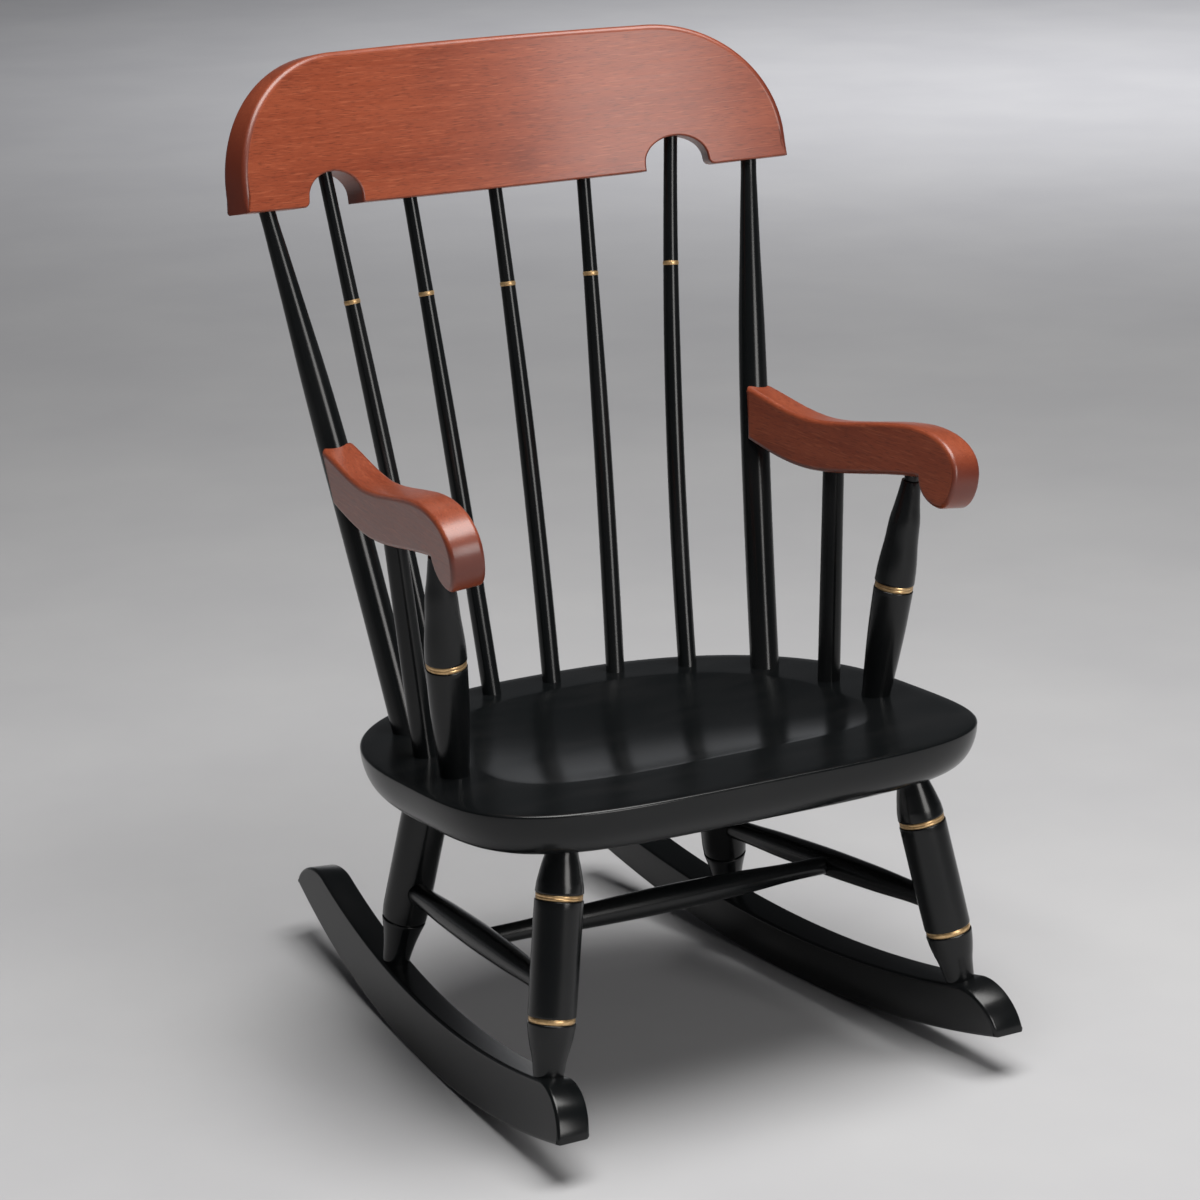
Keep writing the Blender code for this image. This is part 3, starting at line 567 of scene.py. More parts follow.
class Shading:
    """Builder of one node tree."""

    def __init__(self, owner: bpy.types.ID) -> None:
        """Start an empty tree in a new material or world."""
        self.made = owner
        self.made.use_nodes = True
        self.tree = self.made.node_tree
        self.tree.nodes.clear()

    def add(
        self,
        kind: str,
        settings: dict[str, object] | None = None,
        values: dict[int | str, object] | None = None,
    ) -> bpy.types.Node:
        """Add a node.

        Args:
            kind: The node's type.
            settings: Its own settings, set before its sockets.
            values: Socket names or numbers, with the value or the Field that feeds each.

        Returns:
            The node.
        """
        made = self.tree.nodes.new(kind)
        for key, value in (settings or {}).items():
            setattr(made, key, value)
        for key, value in (values or {}).items():
            socket = self._socket(made.inputs, key)
            if isinstance(value, Field):
                self.tree.links.new(value.socket, socket)
            else:
                socket.default_value = value
        return made

    def node(
        self,
        kind: str,
        settings: dict[str, object] | None = None,
        values: dict[int | str, object] | None = None,
        output: int | str = 0,
    ) -> Field:
        """Add a node and give one of its outputs."""
        return Field(self, self._socket(self.add(kind, settings, values).outputs, output))

    @staticmethod
    def _socket(sockets: bpy.types.bpy_prop_collection, key: int | str) -> bpy.types.NodeSocket:
        """Find a socket by number, or by identifier or name among those in use."""
        if isinstance(key, int):
            return sockets[key]
        return next(found for found in sockets if found.enabled and key in (found.identifier, found.name))

    def grain(self, scale: Place) -> Field:
        """The piece's grain coordinates, stretched along the wood."""
        own = self.node("ShaderNodeAttribute", {"attribute_name": "grain"}, None, "Vector")
        return self.node("ShaderNodeMapping", {"vector_type": "POINT"}, {"Vector": own, "Scale": scale})

    def noise(self, pattern: "Noise") -> Field:
        """Noise over the grain coordinates."""
        return self.node("ShaderNodeTexNoise", None, {
            "Vector": self.grain(pattern.scale),
            "Scale": 1.0,
            "Detail": pattern.detail,
            "Roughness": pattern.roughness,
            "Distortion": pattern.twist,
        })

    def mix(self, share: Field, first: Field | Colour, second: Field | Colour) -> Field:
        """Mix two colours, each of them a Field or red, green and blue."""
        pair = [one if isinstance(one, Field) else (*one, 1.0) for one in (first, second)]
        values = {"Factor_Float": share, "A_Color": pair[0], "B_Color": pair[1]}
        return self.node("ShaderNodeMix", {"data_type": "RGBA"}, values, "Result_Color")

    def bump(self, height: Field, strength: float, distance: float) -> Field:
        """Bump from a height field."""
        values = {"Height": height, "Strength": strength, "Distance": distance}
        return self.node("ShaderNodeBump", None, values)

    def finish(self, values: dict[object, object]) -> bpy.types.Material:
        """Close the tree with a Principled shader.

        Args:
            values: The shader's sockets and what each holds.

        Returns:
            The material.
        """
        shader = self.node("ShaderNodeBsdfPrincipled", None, values)
        self.add("ShaderNodeOutputMaterial", None, {"Surface": shader})
        return self.made


@dataclass(frozen=True)
class Noise:
    """A noise pattern: its scale along and both ways across the wood, detail, roughness and twist."""

    scale: Place
    detail: float
    roughness: float = 0.5
    twist: float = 0.0


@dataclass(frozen=True)
class Finish:
    """A finish in one of the record's slots.

    In every finish a band is the pair of pattern values between which a colour comes up.
    """

    slot: Slot

    @property
    def name(self) -> str:
        """Name of the finish's material."""
        return self.slot.value + "_finish"

    def material(self) -> bpy.types.Material:
        """The finish's material, made once."""
        made = bpy.data.materials.get(self.name)
        return made or self.mixed(Shading(bpy.data.materials.new(self.name)))

    def mixed(self, shading: Shading) -> bpy.types.Material:
        """Build the material's nodes."""
        raise NotImplementedError


@dataclass(frozen=True)
class CherryFinish(Finish):
    """Stained cherry under a clear satin coat, darker on end grain, with fine flecks along it."""

    slot: Slot = Slot.CHERRY
    light: Colour = (0.305, 0.066, 0.026)
    middle: Colour = (0.232, 0.044, 0.017)
    dark: Colour = (0.120, 0.020, 0.009)
    fleck: Colour = (0.070, 0.013, 0.006)
    glint: Colour = (0.430, 0.115, 0.052)
    figure_noise: Noise = Noise((5.0, 40.0, 40.0), 3.0, 0.55, 0.5)
    streak_noise: Noise = Noise((12.0, 420.0, 420.0), 3.0, 0.6)
    cloud_noise: Noise = Noise((16.0, 22.0, 22.0), 2.0)
    fleck_noise: Noise = Noise((125.0, 1700.0, 1700.0), 1.5)
    glint_noise: Noise = Noise((60.0, 1000.0, 1000.0), 1.5)
    figure_share: float = 0.60
    tone_band: Pair = (0.36, 0.64)
    cloud_band: Pair = (0.55, 0.80)
    cloud_share: float = 0.40
    fleck_band: Pair = (0.56, 0.66)
    glint_band: Pair = (0.58, 0.70)
    fleck_share: float = 0.45
    end_band: Pair = (0.30, 0.95)
    end_share: float = 0.90
    roughness: float = 0.38
    roughness_swing: float = 0.16
    coat: float = 0.35
    coat_roughness: float = 0.24
    bump: Pair = (0.08, 0.0004)

    def mixed(self, shading: Shading) -> bpy.types.Material:
        """Broad figure and streaks between two tones of stain, under clouds, flecks and end grain."""
        figure, streak = shading.noise(self.figure_noise), shading.noise(self.streak_noise)
        cloud = shading.noise(self.cloud_noise).clip(*self.cloud_band)
        fleck = shading.noise(self.fleck_noise).clip(*self.fleck_band)
        glint = shading.noise(self.glint_noise).clip(*self.glint_band)
        end = shading.node("ShaderNodeAttribute", {"attribute_name": "end_grain"}, None, "Fac")
        tone = (figure * self.figure_share + streak * (1 - self.figure_share)).clip(*self.tone_band)
        stain = shading.mix(tone, self.middle, self.light)
        stain = shading.mix(cloud * self.cloud_share, stain, self.dark)
        stain = shading.mix(fleck * self.fleck_share, stain, self.fleck)
        stain = shading.mix(glint * self.fleck_share, stain, self.glint)
        stain = shading.mix(end.clip(*self.end_band) * self.end_share, stain, self.dark)
        return shading.finish({
            "Base Color": stain,
            "Roughness": self.roughness + (streak - 0.5) * self.roughness_swing,
            "Coat Weight": self.coat,
            "Coat Roughness": self.coat_roughness,
            "Normal": shading.bump(streak * 0.5 - fleck * 0.5, *self.bump),
        })


@dataclass(frozen=True)
class LacquerFinish(Finish):
    """Satin black lacquer."""

    slot: Slot = Slot.LACQUER
    colour: Colour = (0.0042, 0.0050, 0.0054)
    worn: Colour = (0.0085, 0.0088, 0.0092)
    cloud_noise: Noise = Noise((9.0, 26.0, 26.0), 3.0, 0.55)
    worn_band: Pair = (0.45, 0.75)
    roughness: float = 0.21
    roughness_swing: float = 0.08
    specular: float = 0.36

    def mixed(self, shading: Shading) -> bpy.types.Material:
        """Nearly black, with slow changes of gloss."""
        cloud = shading.noise(self.cloud_noise)
        return shading.finish({
            "Base Color": shading.mix(cloud.clip(*self.worn_band), self.colour, self.worn),
            "Roughness": self.roughness + (cloud - 0.5) * self.roughness_swing,
            "Specular IOR Level": self.specular,
        })


@dataclass(frozen=True)
class GoldFinish(Finish):
    """Hand-painted gold in the turned rings."""

    slot: Slot = Slot.GOLD
    colour: Colour = (0.74, 0.50, 0.25)
    shade: Colour = (0.42, 0.25, 0.11)
    patch_noise: Noise = Noise((300.0, 240.0, 240.0), 2.0, 0.6)
    shade_band: Pair = (0.40, 0.80)
    metallic: float = 0.75
    roughness: float = 0.34
    roughness_swing: float = 0.25
    bump: Pair = (0.10, 0.0003)

    def mixed(self, shading: Shading) -> bpy.types.Material:
        """Warm metal paint, thinner in places."""
        patch = shading.noise(self.patch_noise)
        return shading.finish({
            "Base Color": shading.mix(patch.clip(*self.shade_band), self.colour, self.shade),
            "Metallic": self.metallic,
            "Roughness": self.roughness + (patch - 0.5) * self.roughness_swing,
            "Normal": shading.bump(patch, *self.bump),
        })


@dataclass(frozen=True)
class SteelFinish(Finish):
    """Plain bright steel of a screw."""

    slot: Slot = Slot.STEEL
    colour: Colour = (0.42, 0.41, 0.39)
    shade: Colour = (0.30, 0.29, 0.28)
    mark_scale: float = 900.0
    mark_detail: float = 2.0
    roughness: float = 0.30
    roughness_swing: float = 0.2

    def mixed(self, shading: Shading) -> bpy.types.Material:
        """Metal with turning marks."""
        where = shading.node("ShaderNodeTexCoord", None, None, "Object")
        values = {"Vector": where, "Scale": self.mark_scale, "Detail": self.mark_detail}
        mark = shading.node("ShaderNodeTexNoise", None, values)
        return shading.finish({
            "Base Color": shading.mix(mark, self.colour, self.shade),
            "Metallic": 1.0,
            "Roughness": self.roughness + mark * self.roughness_swing,
        })


CHERRY, LACQUER, GOLD, STEEL = CherryFinish(), LacquerFinish(), GoldFinish(), SteelFinish()


# Sub-assemblies


@dataclass(frozen=True)
class GoldBand:
    """A band of gold paint round a turned piece.

    Its section has one or more shallow arches from low to high, counted from the foot:
    r = radius + rise |sin(pi n t)| with n humps, closed on an inner wall that lies deep inside.
    """

    low: float
    high: float
    radius: float
    deep: float = 0.0008
    rise: float = 0.0003
    humps: int = 1
    around: int = 64
    hump_steps: int = 8

    def lay(self, name: str, axis: Axis) -> None:
        """Lay the band round the piece that turns about an axis."""
        t = np.linspace(0.0, 1.0, self.hump_steps * self.humps + 1)
        arch = self.radius + self.rise * np.abs(np.sin(math.pi * self.humps * t))
        inner = self.radius - self.deep
        outside = np.stack([self.low + (self.high - self.low) * t, arch], axis=1)
        section = np.vstack([outside, [[self.high, inner], [self.low, inner]]])
        rings = turned_rings(section, self.around)
        grain = rings[:, [2, 0, 1]] + grain_seed(name)
        faces = [ring_faces(len(section), self.around, True)]
        Surface(axis.place(rings), grain, faces).to_object(name, GOLD, [])


@dataclass(frozen=True)
class Rockers:
    """The two curved planks, leant in with the legs and closer together at the back."""

    front: float = 0.2664
    rear: float = 0.2585
    thickness: float = 0.0249
    height: float = 0.0388
    top_radius: float = 0.987
    top_shift: float = 0.013
    half_spacing: float = 0.1586
    toe: float = 0.0963
    cant: float = 0.1431
    nose: float = 0.0404
    tail: float = 0.0535
    end_lift: float = 0.0030
    edge: float = 0.0026
    least_step: float = 1e-6

    def bottom(self, y: Array | float) -> Array | float:
        """Height of the underside: a circle that touches the floor."""
        return STANCE.arc_radius - np.sqrt(STANCE.arc_radius**2 - np.square(y))

    def top(self, y: Array | float) -> Array | float:
        """Height of the top edge: a circle about a slightly rearward centre."""
        return self.height + self.top_radius - np.sqrt(self.top_radius**2 - np.square(y - self.top_shift))

    def point(self, y: float, z: float, side: Side) -> Array:
        """Point in the middle plane of a rocker."""
        return self._bent(np.array([[y, 0.0, z]]), side)[0]

    def _bent(self, flat: Array, side: Side) -> Array:
        """Lean and toe flat points given as (along, through, up).

        The middle plane leans outwards towards the floor by cant and closes towards the back by
        toe. The section is square to it along the top and level along the underside.
        """
        y, out, z = flat[:, 0], flat[:, 1] * side.value, flat[:, 2]
        across = self.half_spacing + out - self.toe * y - self.cant * z
        share = np.maximum((z - self.bottom(y)) / self.height, 0.0)
        return np.stack([side.value * across, y, z + self.cant * out * share], axis=1)

    def _slope(self, y: float) -> float:
        """Heading of the top edge towards the back, in degrees."""
        return math.degrees(math.asin((y - self.top_shift) / self.top_radius))

    def _outline(self) -> tuple[Array, Array]:
        """The lower and the upper rail: the floor's arc, and the top's arc between nose and tail."""
        nose_end, tail_start = self.nose - self.front, self.rear - self.tail
        nose_tip = (-self.front, float(self.bottom(self.front)) + self.end_lift)
        tail_tip = (self.rear, float(self.bottom(self.rear)) + self.end_lift)
        nose = bezier([
            (nose_tip, 78, 0.0, self.nose * 0.50),
            ((nose_end, float(self.top(nose_end))), self._slope(nose_end), self.nose * 0.40, 0.0),
        ], 24)
        tail = bezier([
            ((tail_start, float(self.top(tail_start))), self._slope(tail_start), 0.0, self.tail * 0.42),
            (tail_tip, -83, self.tail * 0.22, 0.0),
        ], 24)
        middle = np.linspace(nose_end, tail_start, 90)[1:-1]
        upper = np.vstack([nose, np.stack([middle, self.top(middle)], axis=1), tail])
        y = np.clip(upper[:, 0], -self.front, self.rear)
        y[0], y[-1] = -self.front, self.rear
        lower = np.stack([y, self.bottom(y)], axis=1)
        keep = np.concatenate([[True], np.diff(y) > self.least_step])
        keep[-1] = True
        return lower[keep], upper[keep]

    def build(self) -> None:
        """Build both rockers."""
        rails = self._outline()
        edges = (self.edge, self.edge)
        for side in Side:
            name = "rocker_" + side.word
            plank = loft_plank(name, *rails, self.thickness, edges, lambda flat: self._bent(flat, side), 6)
            plank.to_object(name, LACQUER, [name])


@dataclass(frozen=True)
class Seat:
    """Shield-shaped saddle seat with an undercut edge."""

    height: float = 0.2386
    pitch: float = -4.21
    width: float = 0.4264
    widest: float = -0.074
    rear: float = 0.1154
    front: float = -0.2321
    rear_power: float = 2.40
    front_power: float = 4.10
    thickness: float = 0.033
    undercut: float = 0.0195
    edge: float = 0.0020
    rim: float = 0.056
    rim_stretch: Pair = (1.25, 0.84)
    dish: float = 0.0125
    dish_fillet: float = 0.04
    dish_centre: float = -0.040
    line_start: float = -0.100
    line_half: float = 0.1877
    line_depth: float = 0.1912
    line_power: float = 2.4
    under_shares: tuple[float, ...] = (0.02, 0.4, 0.8, 0.97)
    around: int = 240

    def place(self, local: Array) -> Array:
        """Take points from the seat's frame, whose origin is in the rim's plane, to the chair's."""
        return np.asarray(local) @ turned_about_x(self.pitch).T + [0.0, 0.0, self.height]

    def point(self, x: float, y: float, drop: float = 0.0) -> Array:
        """Point of the seat, drop being the depth under the rim's plane."""
        return self.place(np.array([x, y, -drop]))

    def spindle_line(self, x: float) -> float:
        """Distance back of the row of spindles."""
        power = self.line_power
        return self.line_start + self.line_depth * (1 - (abs(x) / self.line_half) ** power) ** (1 / power)

    def _rings(self) -> Array:
        """Rings of the surface, from the middle of the underside to the middle of the dish.

        Returns:
            Rows of (inset from the outline, height over the rim's plane, share of the way out,
            share of the rim that is crossed).
        """
        under_rings, edge_rings, rim_rings, dish_rings = 16, 6, 7, 33
        dish_span, dish_crowding = 0.98, 1.6

        def rows(*values: Array | float) -> Array:
            """Rows made from columns, any of which may be a single number."""
            return np.stack(np.broadcast_arrays(*values), axis=1)

        turn = np.linspace(math.pi / 2, math.asin(self.edge / self.thickness), under_rings)
        cosine, sine = quarter(edge_rings)
        crossed = np.linspace(0.0, 1.0, rim_rings + 1)[1:]
        share = 1 - dish_span * np.linspace(0.0, 1.0, dish_rings + 1)[1:] ** dish_crowding
        sunk = 1 - share**2
        return np.vstack([
            rows(self.undercut, -self.thickness, np.array(self.under_shares), 0.0),
            rows(self.undercut * (1 - np.cos(turn)), -self.thickness * np.sin(turn), 1.0, 0.0),
            rows(self.edge * (1 - cosine[1:]), self.edge * (sine[1:] - 1), 1.0, 0.0),
            rows(self.edge + (self.rim - self.edge) * crossed, 0.0, 1.0, crossed),
            rows(self.rim, -self.dish * sunk**2 / (sunk + self.dish_fillet), share, 1.0),
        ])

    def build(self) -> None:
        """Build the seat.

        A ring at inset d is the superellipse |x/a|^p + |y/b|^p = 1 with a and b drawn in by d,
        behind and before its widest line with powers of its own. The rings climb the undercut
        side, a quarter of an ellipse, turn over the edge, cross the rim and sink into the dish:
        at a share s of the way out its depth is h^2 / (h + fillet) of the whole, h = 1 - s^2. The
        flat rim is broader in front and narrower behind, by its two stretches, and the rings turn
        into plain ellipses towards the middle.
        """
        angle = np.linspace(0.0, math.tau, self.around, endpoint=False)
        cosine, sine = np.cos(angle), np.sin(angle)
        behind = sine >= 0
        power = np.where(behind, self.rear_power, self.front_power)
        reach = np.where(behind, self.rear - self.widest, self.widest - self.front)
        stretch = np.where(behind, self.rim_stretch[1], self.rim_stretch[0])
        rings = self._rings()
        inset, height, share, crossed = rings.T[:, :, None]
        across = np.sign(cosine) * np.abs(cosine) ** (2 / power)
        across = cosine + (across - cosine) * share**2
        along = np.sign(sine) * np.abs(sine) ** (2 / power)
        along = sine + (along - sine) * share**2
        x = (self.width / 2 - inset) * across * share
        y = self.widest + (reach - inset * (1 + crossed * (stretch - 1))) * along
        y = self.dish_centre + (y - self.dish_centre) * share
        local = np.stack([x, y, np.broadcast_to(height, x.shape)], axis=-1).reshape(-1, 3)
        depths = (self.thickness, self.dish / (1 + self.dish_fillet))
        local = np.vstack([local, [[0.0, self.dish_centre, -depth] for depth in depths]])
        faces = closed_faces(len(rings), self.around)
        Surface(self.place(local), local + grain_seed("seat"), faces).to_object("seat", LACQUER, ["seat"])


@dataclass(frozen=True)
class CrestRail:
    """The bent top rail with elliptical shoulders and two notches."""

    half_length: float = 0.2345
    height: float = 0.1125
    crown: float = 0.0023
    thickness: float = 0.0215
    bend: float = 0.603
    lean: float = -14.04
    back: float = 0.1753
    bottom: float = 0.5965
    shoulder_length: float = 0.1035
    shoulder_height: float = 0.0955
    spindle_spacing: float = 0.0735
    notch_half: float = 0.0250
    notch_height: float = 0.0245
    notch_fillet: float = 0.0055
    front_edge: float = 0.0042
    bottom_edge_share: float = 0.35
    back_edge: float = 0.0024
    post_offset: float = 0.2057
    ease_height: float = 0.012
    least_step: float = 0.00012
    wall_gap: float = 0.00006

    def place(self, flat: Array) -> Array:
        """Bend flat points given as (along, through, up) round the leaning axis, and lean them."""
        along, through, up = flat[:, 0], flat[:, 1], flat[:, 2]
        radius, turn = self.bend + through, along / self.bend
        bent = np.stack([radius * np.sin(turn), radius * np.cos(turn) - self.bend, up], axis=1)
        return bent @ turned_about_x(self.lean).T + [0.0, self.back, self.bottom]

    def point(self, along: float, up: float = 0.0) -> Array:
        """Point in the middle of the rail's thickness."""
        return self.place(np.array([[along, 0.0, up]]))[0]

    def _top(self, along: Array) -> Array:
        """Height of the top edge: a low crown between two elliptical shoulders."""
        start = self.half_length - self.shoulder_length
        out = np.clip((np.abs(along) - start) / self.shoulder_length, 0.0, 1.0)
        side = self.height - self.crown - self.shoulder_height
        crown = self.crown * (1 - np.clip(np.abs(along) / start, 0.0, 1.0) ** 2)
        return side + self.shoulder_height * np.sqrt(1 - out**2) + crown

    def _lower(self, along: Array) -> Array:
        """Height of the bottom edge: flat, with a half-round notch and a fillet on its outer side."""
        place = np.abs(along) - 2 * self.spindle_spacing
        rise = self.notch_height - self.notch_fillet
        arch = self.notch_fillet + rise * np.sqrt(np.clip(1 - (place / self.notch_half) ** 2, 0.0, 1.0))
        past = np.clip((place - self.notch_half) / self.notch_fillet, 0.0, 1.0)
        fillet = self.notch_fillet * (1 - np.sqrt(np.clip(1 - (1 - past) ** 2, 0.0, 1.0)))
        outside = np.where(place > self.notch_half, fillet, 0.0)
        return np.where(np.abs(place) <= self.notch_half, arch, outside)

    def _ease(self, loop: Array) -> Array:
        """Share of the front edge's radius: small along the bottom, whole from a thumb's width up.

        It grows as u^2 (3 - 2 u), u being the height over the bottom edge by ease_height.
        """
        up = np.clip((loop[:, 1] - self._lower(loop[:, 0])) / self.ease_height, 0.0, 1.0)
        return self.bottom_edge_share + (1 - self.bottom_edge_share) * up * up * (3 - 2 * up)

    def _stations(self) -> Array:
        """Places along the rail, closer together on the shoulders and round the notches."""
        notch = 2 * self.spindle_spacing
        cosine, sine = quarter(39)
        half = np.concatenate([
            np.linspace(0.0, self.half_length, 60),
            self.half_length - self.shoulder_length + self.shoulder_length * sine,
            notch + self.notch_half * np.cos(np.linspace(0.0, math.pi, 41)),
            notch + self.notch_half + self.notch_fillet * (1 - cosine[::4]),
        ])
        half = np.unique(np.round(half, 6))
        half = half[np.concatenate([[True], np.diff(half) > self.least_step])]
        half[-1] = self.half_length
        return np.concatenate([-half[:0:-1], half])

    def build(self) -> None:
        """Build the rail, whose notches have an upright wall on their inner side."""
        along = self._stations()
        lower = np.stack([along, self._lower(along)], axis=1)
        upper = np.stack([along, self._top(along)], axis=1)
        for sign in (-1, 1):
            wall = sign * (2 * self.spindle_spacing - self.notch_half)
            nearest = int(np.argmin(np.abs(upper[:, 0] - wall)))
            below = np.array([[wall, 0.0], [wall, self.notch_fillet]])[::sign]
            above = np.array([[wall - self.wall_gap, 0.0], [wall + self.wall_gap, 0.0]])
            above[:, 1] = self._top(np.array([wall]))
            lower = np.vstack([lower[:nearest], below, lower[nearest + 1 :]])
            upper = np.vstack([upper[:nearest], above, upper[nearest + 1 :]])
        edges = (self.front_edge, self.back_edge)
        plank = loft_plank("crest_rail", lower, upper, self.thickness, edges, self.place, 22, self._ease)
        plank.to_object("crest_rail", CHERRY, ["crest_rail"])


@dataclass(frozen=True)
class Back:
    """Back posts and spindles between the seat and the crest rail."""

    seat: Seat
    crest: CrestRail
    seat_spacing: float = 0.0533
    base_radius: float = 0.0071
    top_radius: float = 0.0052
    ring_drop: float = 0.0715
    ring_width: float = 0.0032
    post_seat_offset: float = 0.1523
    seat_socket: float = 0.01485
    crest_socket: float = 0.018
    post_radii: Pairs = ((-0.02, 0.0110), (0.19, 0.0110), (0.255, 0.0102), (0.32, 0.0080), (0.36, 0.0067))
    post_top: float = 0.0060
    post_neck: float = 0.006
    swell: float = 0.0005
    post_bow: float = -0.0021
    bows: tuple[float, ...] = (0.0, 0.0008, 0.0025, 0.0015, -0.0046)
    foot_straight: float = 0.01
    paint: float = 0.00008
    paint_depth: float = 0.0004

    def post_axis(self, side: Side) -> Axis:
        """Axis of a back post."""
        across = self.post_seat_offset
        foot = self.seat.point(side.value * across, self.seat.spindle_line(across))
        return Axis(foot, self.crest.point(side.value * self.crest.post_offset), side.value * self.post_bow)

    def spindle_axis(self, place: int) -> Axis:
        """Axis of a spindle, place being 0 in the middle and negative on the left."""
        across = place * self.seat_spacing
        up = self.crest.notch_height if abs(place) == 2 else 0.0
        head = self.crest.point(place * self.crest.spindle_spacing, up)
        return Axis(self.seat.point(across, self.seat.spindle_line(across)), head, self.bows[place + 2])

    def _post(self, side: Side) -> None:
        """Build a back post."""
        axis = self.post_axis(side)
        neck, end = axis.length - self.post_neck, axis.length + self.crest_socket
        keys = (*self.post_radii, (neck, self.post_top), (end, self.post_top))
        name = "back_post_" + side.word
        revolve(name, axis, flow(keys, 12), 56).to_object(name, LACQUER, [name])

    def _spindle(self, number: int, place: int) -> None:
        """Build a spindle and its gold ring.

        The rings stand in one row, each ring_drop below the line of the rail's bottom edge. The
        two heads in the rail's notches stand above that line.

        Args:
            number: The spindle's number, counted from the left.
            place: Its place, counted from the middle and negative on the left.
        """
        axis = self.spindle_axis(place)
        base, middle, top = self.base_radius, (self.top_radius + self.base_radius) / 2, self.top_radius
        keys = (
            (-self.seat_socket, base),
            (self.foot_straight, base),
            (axis.length * 0.5, middle + self.swell),
            (axis.length, top),
            (axis.length + self.crest_socket, top),
        )
        profile = flow(keys, 16)
        name = "back_spindle_%d" % number
        revolve(name, axis, profile, 40).to_object(name, LACQUER, [name])
        plain = self.crest.point(place * self.crest.spindle_spacing)
        ring, half = float(np.linalg.norm(plain - axis.foot)) - self.ring_drop, self.ring_width / 2
        radius = float(np.interp(ring, profile[:, 0], profile[:, 1])) + self.paint
        GoldBand(ring - half, ring + half, radius, self.paint_depth).lay("gold_ring_back_%d" % number, axis)

    def build(self) -> None:
        """Build the posts and the spindles."""
        for side in Side:
            self._post(side)
        for number, place in enumerate(range(-2, 3), start=1):
            self._spindle(number, place)


